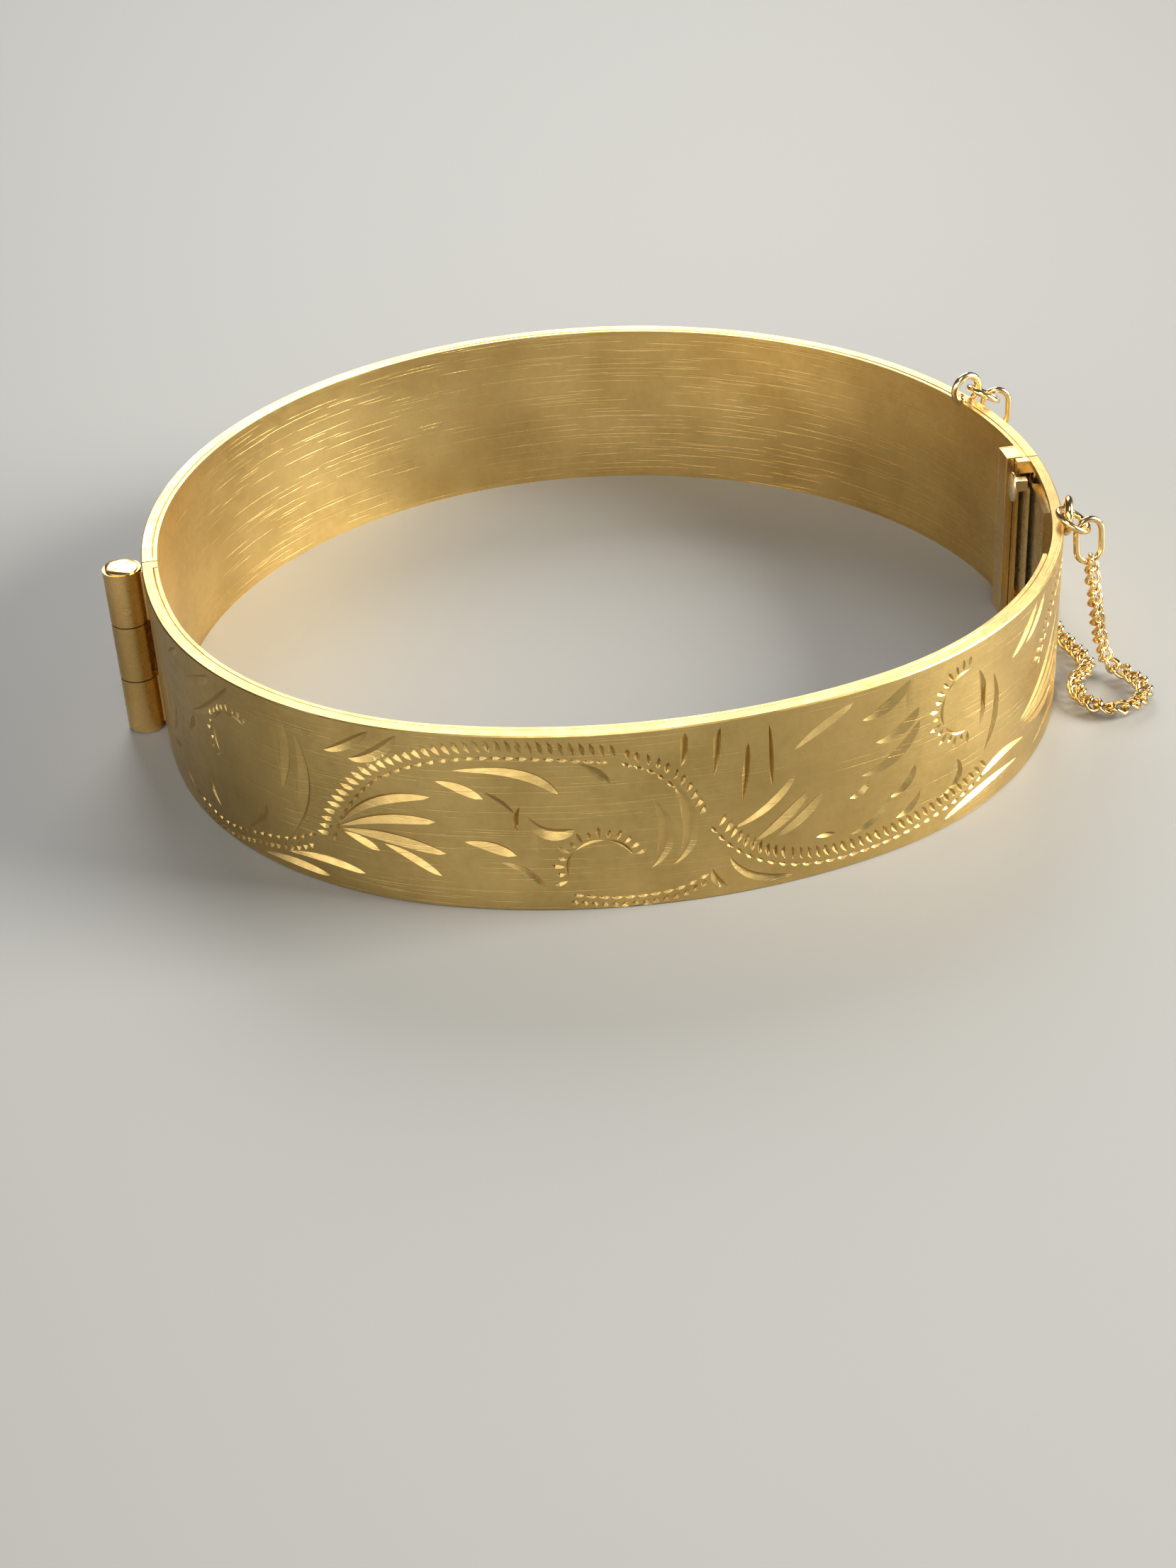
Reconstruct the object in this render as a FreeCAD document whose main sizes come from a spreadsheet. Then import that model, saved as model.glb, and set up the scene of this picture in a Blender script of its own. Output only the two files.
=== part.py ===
"""Hinged bangle bracelet with a box clasp, soldered loops, rings and a curb safety chain.

Millimetres, +Z up. The bangle lies on its lower rim with its hinge at -X and its clasp at +X;
the engraved front half is toward -Y. The origin is on the ground under the middle of the whole
bracelet. The band follows one outline of tangent arcs; every sheet of it is a small section
turned about the upright axis of each arc in turn.
"""
import FreeCAD, Part
import math
import os
import Sketcher

DRIVING = {
    # plan outline of the band, outer face
    "rear_radius": 31.5,
    "end_radius": 40.0,
    "end_turn": 14.0,
    "corner_radius": 26.0,
    "front_depth": 30.9,
    "widest_line": -0.6,
    # band section
    "band_height": 12.7,
    "band_thickness": 1.1,
    "skin_sheet": 0.3,
    "liner_sheet": 0.28,
    "rim_sheet": 0.35,
    "rim_bevel": 0.08,
    "end_plate": 0.35,
    # hinge
    "hinge_line": -2.2,
    "half_gap": 0.12,
    "knuckle_radius": 1.3,
    "barrel_stand": 0.05,
    "pin_radius": 0.55,
    "pin_fit": 0.05,
    "pin_head": 0.22,
    "pin_head_rim": 1.05,
    "knuckle_gap": 0.08,
    "hinge_leaf_sheet": 0.25,
    "hinge_leaf_reach": 3.0,
    "neck_length": 0.45,
    "neck_reach": 0.5,
    "leaf_edge": 0.1,
    # clasp
    "clasp_line": -0.5,
    "pocket_length": 15.0,
    "pocket_rim": 0.75,
    "box_length": 2.0,
    "box_near": 0.32,
    "box_depth": 2.25,
    "box_wall": 0.18,
    "window_margin": 0.6,
    "window_inner": 1.5,
    "frame_thickness": 0.7,
    "frame_depth": 1.7,
    "tongue_low": 2.2,
    "tongue_height": 9.0,
    "tongue_sheet": 0.2,
    "tongue_reach": 1.6,
    "tongue_tail": 6.0,
    "tongue_depth": 0.65,
    "leaf_gap": 0.25,
    "leaf_tail": 2.2,
    "arm_length": 0.7,
    "arm_height": 0.8,
    "tab_top": 0.5,
    "tab_height": 2.2,
    "tab_length": 1.7,
    "tab_sheet": 0.24,
    "tab_depth": 1.9,
    # loops and rings
    "rear_loop_from_joint": 10.9,
    "front_loop_from_joint": 9.5,
    "loop_radius": 1.05,
    "loop_wire": 0.27,
    "bead_radius": 0.42,
    "link_radius": 1.15,
    "link_wire": 0.22,
    "jump_radius": 0.95,
    "jump_side": 1.1,
    "jump_hang": 0.9,
    "jump_wire": 0.22,
    # safety chain
    "chain_wire": 0.14,
    "chain_bend": 0.475,
    "chain_side": 0.3,
    "chain_length": 1.25,
    "chain_pitch": 0.93,
    "chain_gap": 0.02,
    # where the middle of the oval lies from the middle of the whole bracelet
    "shift_x": -1.035,
    "shift_y": 0.0,
}

doc = FreeCAD.newDocument("Bangle")
sheet = doc.addObject("Spreadsheet::Sheet", "Sizes")
for row, (alias, value) in enumerate(DRIVING.items(), start=1):
    sheet.set(f"A{row}", alias)
    sheet.set(f"B{row}", str(value))
    sheet.setAlias(f"B{row}", alias)
doc.recompute()


class Dim:
    """A length with its number and the spreadsheet expression that drives it."""

    def __init__(self, value, text):
        self.value = value
        self.text = text

    @staticmethod
    def of(other):
        return other if isinstance(other, Dim) else Dim(float(other), f"{float(other):.4f}")

    def _join(self, sign, other, value):
        return Dim(value, f"({self.text} {sign} {Dim.of(other).text})")

    def __add__(self, other):
        return self._join("+", other, self.value + Dim.of(other).value)

    def __sub__(self, other):
        return self._join("-", other, self.value - Dim.of(other).value)

    def __mul__(self, other):
        return self._join("*", other, self.value * Dim.of(other).value)

    def __truediv__(self, other):
        return self._join("/", other, self.value / Dim.of(other).value)


def size(alias):
    """The driving dimension of that name, bound to its spreadsheet cell."""
    return Dim(DRIVING[alias], f"Sizes.{alias}")


def bind(target, prop, dim):
    """Drive one property of an object from the spreadsheet."""
    target.setExpression(prop, dim.text)


# ---------------------------------------------------------------- outline of the band


class Arc:
    """One round stretch of the outline: its centre, its outer radius, and where it starts and ends."""

    def __init__(self, centre, radius, start, end):
        self.centre = centre
        self.radius = radius
        self.start = start
        self.end = end

    @property
    def length(self):
        return self.radius.value * math.radians(self.end - self.start)

    def part(self, from_mm, to_mm):
        """The same arc between two distances from its start."""
        per_degree = self.radius.value * math.radians(1)
        first = self.start + from_mm / per_degree
        last = self.start + to_mm / per_degree
        return Arc(self.centre, self.radius, first, last)


def outline_arcs():
    """The whole outline, anticlockwise from its widest point beside the clasp."""
    rear = size("rear_radius")
    end = size("end_radius")
    corner = size("corner_radius")
    turn = math.radians(DRIVING["end_turn"])
    middle_y = DRIVING["widest_line"]
    shift = FreeCAD.Vector(DRIVING["shift_x"], DRIVING["shift_y"], 0)
    end_x = end.value - rear.value
    reach = end.value - corner.value
    corner_x = reach * math.cos(turn) - end_x
    corner_y = middle_y - reach * math.sin(turn)
    drop = DRIVING["front_depth"] + corner_y
    # the front arc touches both corner arcs and the front of the oval
    front_radius = (corner_x**2 + drop**2 - corner.value**2) / (2 * (drop - corner.value))
    front_y = front_radius - DRIVING["front_depth"]
    half_front = math.degrees(math.atan2(corner_x, front_y - corner_y))
    front = Dim(front_radius, f"{front_radius:.4f}")
    end_turn = DRIVING["end_turn"]

    def at(x, y):
        return FreeCAD.Vector(x, y, 0) + shift

    return [
        Arc(at(0, middle_y), rear, 0, 180),
        Arc(at(end_x, middle_y), end, 180, 180 + end_turn),
        Arc(at(-corner_x, corner_y), corner, 180 + end_turn, 270 - half_front),
        Arc(at(0, front_y), front, 270 - half_front, 270 + half_front),
        Arc(at(corner_x, corner_y), corner, 270 + half_front, 360 - end_turn),
        Arc(at(-end_x, middle_y), end, 360 - end_turn, 360),
    ]


OUTLINE = outline_arcs()
PERIMETER = sum(arc.length for arc in OUTLINE)


def stretch(start_mm, end_mm):
    """The arcs between two stations, in mm anticlockwise along the outer face from the widest point."""
    found = []
    for lap in (-PERIMETER, 0, PERIMETER):
        station = lap
        for arc in OUTLINE:
            low = max(start_mm, station)
            high = min(end_mm, station + arc.length)
            if high - low > 1e-4:
                found.append(arc.part(low - station, high - station))
            station += arc.length
    return found


def point_at(station_mm, depth=0.0, height=0.0):
    """A point of the band at a station, so far in from the outer face and so far up."""
    arc = stretch(station_mm, station_mm + 0.01)[0]
    angle = math.radians(arc.start)
    reach = arc.radius.value - depth
    offset = FreeCAD.Vector(reach * math.cos(angle), reach * math.sin(angle), height)
    return arc.centre + offset


def heading_at(station_mm):
    """The angle of the outward normal of the band at a station, in degrees from +X."""
    return stretch(station_mm, station_mm + 0.01)[0].start


def station_of_line(arc, line_y):
    """How far from the arc's own start the outline crosses y = line_y, near the band's end."""
    rise = (line_y + DRIVING["shift_y"] - arc.centre.y) / arc.radius.value
    return arc.radius.value * abs(math.asin(rise))


CLASP = station_of_line(OUTLINE[0], DRIVING["clasp_line"])
HINGE = OUTLINE[0].length + station_of_line(OUTLINE[1], DRIVING["hinge_line"])
HALF_GAP = DRIVING["half_gap"] / 2
FRONT_START = HINGE + HALF_GAP
FRONT_END = PERIMETER + CLASP - HALF_GAP
REAR_START = CLASP + HALF_GAP
REAR_END = HINGE - HALF_GAP
POCKET_START = FRONT_END - DRIVING["pocket_length"]

# ---------------------------------------------------------------- sections turned along the outline


def origin_plane(body, role):
    """One of the body's own origin planes."""
    return [plane for plane in body.Origin.OriginFeatures if plane.Role == role][0]


def add_wire(sketch, points):
    """Draw a closed polygon whose corners are pairs of driven lengths from the sketch's origin."""
    first = sketch.GeometryCount
    count = len(points)
    for index, (across, up) in enumerate(points):
        next_across, next_up = points[(index + 1) % count]
        start = FreeCAD.Vector(across.value, up.value, 0)
        end = FreeCAD.Vector(next_across.value, next_up.value, 0)
        sketch.addGeometry(Part.LineSegment(start, end), False)
    for index in range(count):
        sketch.addConstraint(
            Sketcher.Constraint("Coincident", first + index, 2, first + (index + 1) % count, 1)
        )
    for index, (across, up) in enumerate(points):
        line = first + index
        for axis, length in (("DistanceX", across), ("DistanceY", up)):
            number = sketch.addConstraint(
                Sketcher.Constraint(axis, -1, 1, line, 1, length.value)
            )
            name = f"{axis}_{line}"
            sketch.renameConstraint(number, name)
            sketch.setExpression(f"Constraints.{name}", length.text)


def turned(label, *runs):
    """A body made by turning sections about the upright axis of each arc of the outline in turn.

    A run is (arcs, wires): wires(radius) gives the closed polygons of the section for an arc
    of that outer radius.
    """
    body = doc.addObject("PartDesign::Body", label)
    stretches = [(arc, wires) for arcs, wires in runs for arc in arcs]
    for number, (arc, wires) in enumerate(stretches):
        sketch = body.newObject("Sketcher::SketchObject", f"{label}_section_{number}")
        sketch.AttachmentSupport = [(origin_plane(body, "XZ_Plane"), "")]
        sketch.MapMode = "FlatFace"
        place = FreeCAD.Vector(arc.centre.x, 0, -arc.centre.y)
        turn = FreeCAD.Rotation(FreeCAD.Vector(0, 1, 0), arc.start)
        sketch.AttachmentOffset = FreeCAD.Placement(place, turn)
        for points in wires(arc.radius):
            add_wire(sketch, points)
        turning = body.newObject("PartDesign::Revolution", f"{label}_turn_{number}")
        turning.Profile = sketch
        turning.ReferenceAxis = (sketch, ["V_Axis"])
        turning.Angle = arc.end - arc.start
        body.Tip = turning
    return body


def rectangle(low_across, high_across, low_up, high_up):
    return [
        (low_across, low_up),
        (high_across, low_up),
        (high_across, high_up),
        (low_across, high_up),
    ]


HEIGHT = size("band_height")
THICK = size("band_thickness")
SKIN = size("skin_sheet")
RIM = size("rim_sheet")
ZERO = Dim(0.0, "0")


def channel(rim_width, gap=None):
    """Section of an outer sheet with a flat rim turned inward at its top and its bottom.

    A gap is a pair of heights between which the sheet is cut away.
    """
    bevel = size("rim_bevel")

    def wires(radius):
        inner = radius - rim_width
        web = radius - SKIN
        lower = [(inner, RIM), (inner, ZERO), (radius - bevel, ZERO), (radius, bevel)]
        upper = [
            (radius, HEIGHT - bevel),
            (radius - bevel, HEIGHT),
            (inner, HEIGHT),
            (inner, HEIGHT - RIM),
        ]
        lower_root = (web, RIM)
        upper_root = (web, HEIGHT - RIM)
        if gap is None:
            return [lower + upper + [upper_root, lower_root]]
        low, high = gap
        return [
            lower + [(radius, low), (web, low), lower_root],
            [(web, high), (radius, high)] + upper + [upper_root],
        ]

    return wires


def between(outer_depth, inner_depth, low, high):
    """Section of a plain strip between two depths from the outer face and two heights."""

    def wires(radius):
        return [rectangle(radius - inner_depth, radius - outer_depth, low, high)]

    return wires


def stepped(rim_width, outer_depth, inner_depth):
    """Outline of a block that fits behind the rims and stands out past them to full height."""

    def wires(radius):
        far = radius - inner_depth
        rim = radius - rim_width
        near = radius - outer_depth
        return [
            [
                (far, ZERO),
                (rim, ZERO),
                (rim, RIM),
                (near, RIM),
                (near, HEIGHT - RIM),
                (rim, HEIGHT - RIM),
                (rim, HEIGHT),
                (far, HEIGHT),
            ]
        ]

    return wires


def windowed(outline, outer_depth, inner_depth, low, high):
    """A section with a window through it."""

    def wires(radius):
        return outline(radius) + [rectangle(radius - inner_depth, radius - outer_depth, low, high)]

    return wires


# ---------------------------------------------------------------- bands

KNUCKLE_PITCH = HEIGHT / 3
LINER_FACE = THICK - size("liner_sheet")
LEAF_INNER = SKIN + size("hinge_leaf_sheet")
NECK = DRIVING["neck_length"]
BOX_END = REAR_START + DRIVING["box_length"]


def make_bands():
    """The outer sheets with their rims, the inner liners, and the plates that close their ends."""
    sliver = size("rim_bevel")
    liner = between(LINER_FACE, THICK, RIM, HEIGHT - RIM)
    plug = between(LEAF_INNER, LINER_FACE, RIM, HEIGHT - RIM)
    full_plug = between(SKIN, LINER_FACE, RIM, HEIGHT - RIM)
    whole_notch = (RIM + sliver, HEIGHT - RIM - sliver)
    middle_notch = (KNUCKLE_PITCH, KNUCKLE_PITCH * 2)
    plate = DRIVING["end_plate"]
    neck_end = FRONT_START + NECK
    notch_end = FRONT_START + NECK * 2
    return [
        turned(
            "front_outer_shell",
            (stretch(FRONT_START, neck_end), channel(THICK, whole_notch)),
            (stretch(neck_end, notch_end), channel(THICK, middle_notch)),
            (stretch(notch_end, POCKET_START), channel(THICK)),
            (stretch(POCKET_START, FRONT_END), channel(size("pocket_rim"))),
        ),
        turned("front_inner_liner", (stretch(FRONT_START, POCKET_START), liner)),
        turned("front_hinge_end_plate", (stretch(FRONT_START, FRONT_START + plate), plug)),
        turned("pocket_end_plate", (stretch(POCKET_START - plate, POCKET_START), full_plug)),
        turned(
            "rear_outer_shell",
            (stretch(REAR_START, REAR_END - NECK), channel(THICK)),
            (stretch(REAR_END - NECK, REAR_END), channel(THICK, middle_notch)),
        ),
        turned("rear_inner_liner", (stretch(BOX_END, REAR_END), liner)),
        turned("rear_hinge_end_plate", (stretch(REAR_END - plate, REAR_END), plug)),
    ]


# ---------------------------------------------------------------- hinge

AXIS = point_at(HINGE, depth=-(DRIVING["knuckle_radius"] + DRIVING["barrel_stand"]))


def cylinder(label, radius, tall, base):
    """A driven upright cylinder standing at a point."""
    solid = doc.addObject("Part::Cylinder", label)
    bind(solid, "Radius", radius)
    bind(solid, "Height", tall)
    solid.Placement.Base = base
    return solid


def combined(kind, label, base, tool):
    """A boolean of two objects: Part::Cut, Part::Fuse or Part::Common."""
    result = doc.addObject(kind, label)
    result.Base = base
    result.Tool = tool
    return result


def knuckle(label, low, high, bore):
    """One tube of the hinge barrel between two heights."""
    base = AXIS + FreeCAD.Vector(0, 0, low.value)
    tube = cylinder(f"{label}_tube", size("knuckle_radius"), high - low, base)
    hole = cylinder(f"{label}_bore", bore, high - low, base)
    return combined("Part::Cut", label, tube, hole)


def hinge_leaf(label, run, neck, low, high):
    """A strip brazed under the outer sheet, with a neck that turns out to its knuckle."""
    reach = size("neck_reach")
    strip = turned(
        f"{label}_strip",
        (run, between(SKIN, LEAF_INNER, low, high)),
        (neck, between(ZERO - reach, SKIN, low, high)),
    )
    seat = cylinder(f"{label}_seat", size("knuckle_radius"), HEIGHT, AXIS)
    return combined("Part::Cut", label, strip, seat)


def make_hinge():
    """Three knuckles on a peened pin: the outer two on the front half, the middle one on the rear."""
    gap = size("knuckle_gap") / 2
    head = size("pin_head")
    reach = DRIVING["hinge_leaf_reach"]
    front_run = stretch(FRONT_START, FRONT_START + reach)
    front_neck = stretch(FRONT_START, FRONT_START + NECK)
    rear_run = stretch(REAR_END - reach, REAR_END)
    rear_neck = stretch(REAR_END - NECK, REAR_END)
    low_joint = KNUCKLE_PITCH
    high_joint = KNUCKLE_PITCH * 2
    top = HEIGHT - RIM
    edge = size("leaf_edge")
    tight = size("pin_radius")
    loose = tight + size("pin_fit")
    foot = AXIS + FreeCAD.Vector(0, 0, head.value)
    shank = cylinder("pin_shank", size("pin_radius"), HEIGHT - head * 2, foot)
    heads = []
    for name, height, wide, narrow in (
        ("pin_foot", ZERO, size("pin_head_rim"), size("knuckle_radius")),
        ("pin_cap", HEIGHT - head, size("knuckle_radius"), size("pin_head_rim")),
    ):
        peened = doc.addObject("Part::Cone", name)
        bind(peened, "Radius1", wide)
        bind(peened, "Radius2", narrow)
        bind(peened, "Height", head)
        peened.Placement.Base = AXIS + FreeCAD.Vector(0, 0, height.value)
        heads.append(peened)
    footed = combined("Part::Fuse", "pin_with_foot", shank, heads[0])
    return [
        knuckle("hinge_knuckle_top", high_joint + gap, HEIGHT - head, tight),
        knuckle("hinge_knuckle_bottom", head, low_joint - gap, tight),
        knuckle("hinge_knuckle_middle", low_joint + gap, high_joint - gap, loose),
        combined("Part::Fuse", "hinge_pin", footed, heads[1]),
        hinge_leaf("front_hinge_leaf_top", front_run, front_neck, high_joint + edge, top - edge),
        hinge_leaf("front_hinge_leaf_bottom", front_run, front_neck, RIM + edge, low_joint - edge),
        hinge_leaf("rear_hinge_leaf", rear_run, rear_neck, low_joint + edge, high_joint - edge),
    ]


# ---------------------------------------------------------------- clasp


def make_clasp():
    """The box on the rear half, and the folded tongue with its thumb tab on the front half."""
    wall = size("box_wall")
    plate = DRIVING["box_wall"]
    near = size("box_near")
    deep = size("box_depth")
    low = RIM + size("window_margin")
    high = HEIGHT - RIM - size("window_margin")
    void_low = RIM + wall
    void_high = HEIGHT - RIM - wall
    lip = size("window_inner")
    block = stepped(THICK, near, deep)
    frame = stepped(size("pocket_rim"), SKIN, size("frame_depth"))
    base_near = size("tongue_depth")
    base_far = base_near + size("tongue_sheet")
    spring_near = base_far + size("leaf_gap")
    spring_far = spring_near + size("tongue_sheet")
    tongue_low = size("tongue_low")
    tongue_high = tongue_low + size("tongue_height")
    fold = DRIVING["tongue_sheet"]
    tip = CLASP + DRIVING["tongue_reach"]
    tail = CLASP - DRIVING["tongue_tail"]
    free_end = CLASP - DRIVING["leaf_tail"]
    solder = between(SKIN, base_near, tongue_low, tongue_high)
    tongue_strip = between(base_near, base_far, tongue_low, tongue_high)
    spring_strip = between(spring_near, spring_far, tongue_low, tongue_high)
    arm_low = HEIGHT - size("tab_top") - size("tab_height") / 2
    arm_reach = size("tab_depth") + size("tab_sheet")
    arm = between(spring_far, arm_reach, arm_low, arm_low + size("arm_height"))
    tab_station = free_end + DRIVING["tab_length"] / 2
    leaf_arm = turned(
        "tongue_spring_leaf",
        (stretch(free_end, tip - fold), spring_strip),
        (stretch(free_end, free_end + DRIVING["arm_length"]), arm),
    )
    return [
        turned(
            "clasp_box",
            (
                stretch(REAR_START + plate, BOX_END - plate),
                windowed(block, near + wall, deep - wall, void_low, void_high),
            ),
        ),
        turned("box_back_plate", (stretch(BOX_END - plate, BOX_END), block)),
        turned(
            "box_mouth_plate",
            (stretch(REAR_START, REAR_START + plate), windowed(block, near + wall, lip, low, high)),
        ),
        turned(
            "front_clasp_frame",
            (
                stretch(FRONT_END - DRIVING["frame_thickness"], FRONT_END),
                windowed(frame, near + wall, lip, low, high),
            ),
        ),
        turned(
            "tongue_base_leaf",
            (stretch(tail, CLASP - DRIVING["frame_thickness"] * 2), solder),
            (stretch(tail, tip), tongue_strip),
            (stretch(tip - fold, tip), between(base_far, spring_far, tongue_low, tongue_high)),
        ),
        leaf_arm,
        thumb_tab(tab_station),
    ]


def thumb_tab(station):
    """The rounded press of the sprung leaf, on the inner side of the band near its top rim."""
    tab = doc.addObject("Part::Ellipsoid", "thumb_tab")
    bind(tab, "Radius1", size("tab_height") / 2)
    bind(tab, "Radius2", size("tab_sheet"))
    bind(tab, "Radius3", size("tab_length") / 2)
    height = DRIVING["band_height"] - DRIVING["tab_top"] - DRIVING["tab_height"] / 2
    depth = DRIVING["tab_depth"] + DRIVING["tab_sheet"]
    tab.Placement = FreeCAD.Placement(
        point_at(station, depth, height),
        FreeCAD.Rotation(FreeCAD.Vector(0, 0, 1), heading_at(station)),
    )
    return tab


# ---------------------------------------------------------------- loops and rings


def turned_to(normal):
    """The rotation that takes +Z to a direction."""
    return FreeCAD.Rotation(FreeCAD.Vector(0, 0, 1), normal)


def ring(label, centre, normal, radius, wire):
    """A round closed ring of wire."""
    loop = doc.addObject("Part::Torus", label)
    bind(loop, "Radius1", radius)
    bind(loop, "Radius2", wire)
    loop.Placement = FreeCAD.Placement(centre, turned_to(normal))
    return loop


def oval_link(label, placement, bend, side, wire):
    """A closed link with two straight sides along its own Y axis, lying in its own XY plane.

    bend is the radius of its round ends, side the length of a straight side.
    """
    parts = []
    for name, first, shift in (("head", 0, 0.5), ("foot", 180, -0.5)):
        half = doc.addObject("Part::Torus", f"{label}_{name}")
        bind(half, "Radius1", bend)
        bind(half, "Radius2", wire)
        half.Angle3 = 180
        turn = FreeCAD.Rotation(FreeCAD.Vector(0, 0, 1), first)
        half.Placement = FreeCAD.Placement(FreeCAD.Vector(0, side.value * shift, 0), turn)
        parts.append(half)
    for name, sign in (("left", -1), ("right", 1)):
        rod = doc.addObject("Part::Cylinder", f"{label}_{name}")
        bind(rod, "Radius", wire)
        bind(rod, "Height", side)
        base = FreeCAD.Vector(sign * bend.value, side.value / 2, 0)
        rod.Placement = FreeCAD.Placement(base, FreeCAD.Rotation(FreeCAD.Vector(1, 0, 0), 90))
        parts.append(rod)
    link = doc.addObject("Part::MultiFuse", label)
    link.Shapes = parts
    link.Placement = placement
    return link


def direction(heading, slope=0.0):
    """A unit direction at an angle from +X in plan, and so far up in degrees."""
    flat = math.cos(math.radians(slope))
    return FreeCAD.Vector(
        flat * math.cos(math.radians(heading)),
        flat * math.sin(math.radians(heading)),
        math.sin(math.radians(slope)),
    )


def beside_rim(station, outward, along, up):
    """A point outside the outer face, along the band (anticlockwise) and above the top rim."""
    edge = point_at(station, -outward, DRIVING["band_height"] + up)
    return edge + direction(heading_at(station) + 90) * along


def soldered_loop(label, station, middle, normal, foot):
    """A wire loop soldered to the band, trimmed where it meets it, on a bead of solder."""
    centre = beside_rim(station, *middle)
    wire_ring = ring(f"{label}_ring", centre, normal, size("loop_radius"), size("loop_wire"))
    bead = doc.addObject("Part::Sphere", f"{label}_bead")
    bind(bead, "Radius", size("bead_radius"))
    bead.Placement.Base = beside_rim(station, *foot)
    joined = combined("Part::Fuse", f"{label}_joined", wire_ring, bead)
    sector = stretch(station - 4, station + 4)
    seat = turned(f"{label}_seat", (sector, between(ZERO, THICK, ZERO, HEIGHT)))
    return combined("Part::Cut", label, joined, seat)


def hanging(centre, across, along):
    """Placement of a link: across is its X axis and along its long Y axis, made square to it."""
    side = across.cross(along)
    turn = FreeCAD.Rotation(across, side.cross(across), side, "XZY")
    return FreeCAD.Placement(centre, turn)


# where each link ring lies, as outward, along and up from the foot of its loop; all lean 30 degrees
LINK_LEAN = 30
LINK_MIDDLE = {"rear": (0.7, -0.5, 0.3), "front": (0.6, -0.9, 0.15)}
# the jump rings hang almost straight down from the outer side of the link rings
JUMP_FACING = {"rear": -25, "front": 25}
JUMP_SWING = -30
JUMP_SLOPE = -80


def loop_station(half):
    """The station of a half's soldered loop."""
    if half == "rear":
        return CLASP + DRIVING["rear_loop_from_joint"]
    return CLASP - DRIVING["front_loop_from_joint"]


def link_low_point(half):
    """The outermost, lowest point of a link ring's wire line, where its jump ring hangs."""
    outward, along, up = LINK_MIDDLE[half]
    reach = DRIVING["link_radius"]
    lean = math.radians(LINK_LEAN)
    drop = (outward + reach * math.cos(lean), along, up - reach * math.sin(lean))
    return beside_rim(loop_station(half), *drop)


def jump_frame(half):
    """The direction across a jump ring, the direction it hangs in, and its middle."""
    heading = heading_at(loop_station(half))
    down = direction(heading + JUMP_SWING, JUMP_SLOPE)
    middle = link_low_point(half) + down * DRIVING["jump_hang"]
    return direction(heading + JUMP_FACING[half]), down, middle


def make_rings(half):
    """The link ring and the oval jump ring of one half."""
    station = loop_station(half)
    facing = direction(heading_at(station), 90 - LINK_LEAN)
    across, down, middle = jump_frame(half)
    place = hanging(middle, across, down)
    bend = size("jump_radius")
    return [
        ring(
            f"{half}_link_ring",
            beside_rim(station, *LINK_MIDDLE[half]),
            facing,
            size("link_radius"),
            size("link_wire"),
        ),
        oval_link(f"{half}_jump_ring", place, bend, size("jump_side"), size("jump_wire")),
    ]


def make_loops():
    """The soldered loops: the rear one stands across the rim, the front one along the outer face."""
    rear = loop_station("rear")
    front = loop_station("front")
    across = direction(heading_at(rear) + 90)
    outward = direction(heading_at(front))
    return [
        soldered_loop("rear_chain_loop", rear, (-0.45, 0, 0.75), across, (-1.0, 0, 0.1)),
        soldered_loop("front_chain_loop", front, (0.31, 0, 0.1), outward, (0.25, 0, -1.0)),
    ]


# ---------------------------------------------------------------- safety chain


# Where the chain lies, from the front jump ring to the rear one, in the band's own axes before the
# origin is shifted: down from the ring, round in a loose loop on the floor, then along the band.
CHAIN_ROUTE = [
    (32.35, -11.55, 7.7),
    (32.9, -11.0, 5.2),
    (33.5, -10.3, 2.9),
    (34.3, -10.1, 0.75),
    (35.3, -11.4, 0.68),
    (36.0, -13.8, 0.68),
    (34.4, -15.7, 0.68),
    (32.1, -15.8, 0.68),
    (31.0, -13.6, 0.68),
    (31.5, -11.3, 0.68),
    (33.0, -10.2, 0.68),
    (32.9, -8.0, 0.68),
    (32.2, -5.2, 0.68),
    (32.4, -2.4, 0.68),
    (33.1, 0.2, 0.68),
    (32.9, 2.8, 0.68),
    (32.2, 5.2, 0.68),
    (32.9, 7.6, 0.68),
    (34.0, 9.8, 0.68),
    (33.2, 11.4, 1.3),
    (32.5, 10.7, 3.6),
    (32.2, 10.3, 6.4),
]


def chain_end(half):
    """Where the first link of the chain passes through a jump ring, a little above its lowest wire."""
    across, down, middle = jump_frame(half)
    lowest = DRIVING["jump_side"] / 2 + DRIVING["jump_radius"]
    grip = DRIVING["jump_wire"] + DRIVING["chain_wire"] + DRIVING["chain_gap"]
    overhang = (DRIVING["chain_length"] - DRIVING["chain_pitch"]) / 2
    return middle + down * (lowest - grip + overhang)


def chain_line():
    """The middle line of the chain: a quadratic B-spline that is clamped at both jump rings."""
    shift = FreeCAD.Vector(DRIVING["shift_x"], DRIVING["shift_y"], 0)
    poles = [chain_end("front")]
    poles += [FreeCAD.Vector(*point) + shift for point in CHAIN_ROUTE]
    poles.append(chain_end("rear"))
    degree = 2
    spans = len(poles) - degree
    turns = [degree + 1] + [1] * (spans - 1) + [degree + 1]
    line = Part.BSplineCurve()
    line.buildFromPolesMultsKnots(poles, turns, list(range(spans + 1)), False, degree)
    return line


def carried(across, before, after):
    """A direction square to one run of the chain, turned as little as possible onto the next run."""
    turned_over = FreeCAD.Rotation(before, after).multVec(across)
    return (turned_over - after * turned_over.dot(after)).normalize()


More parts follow.
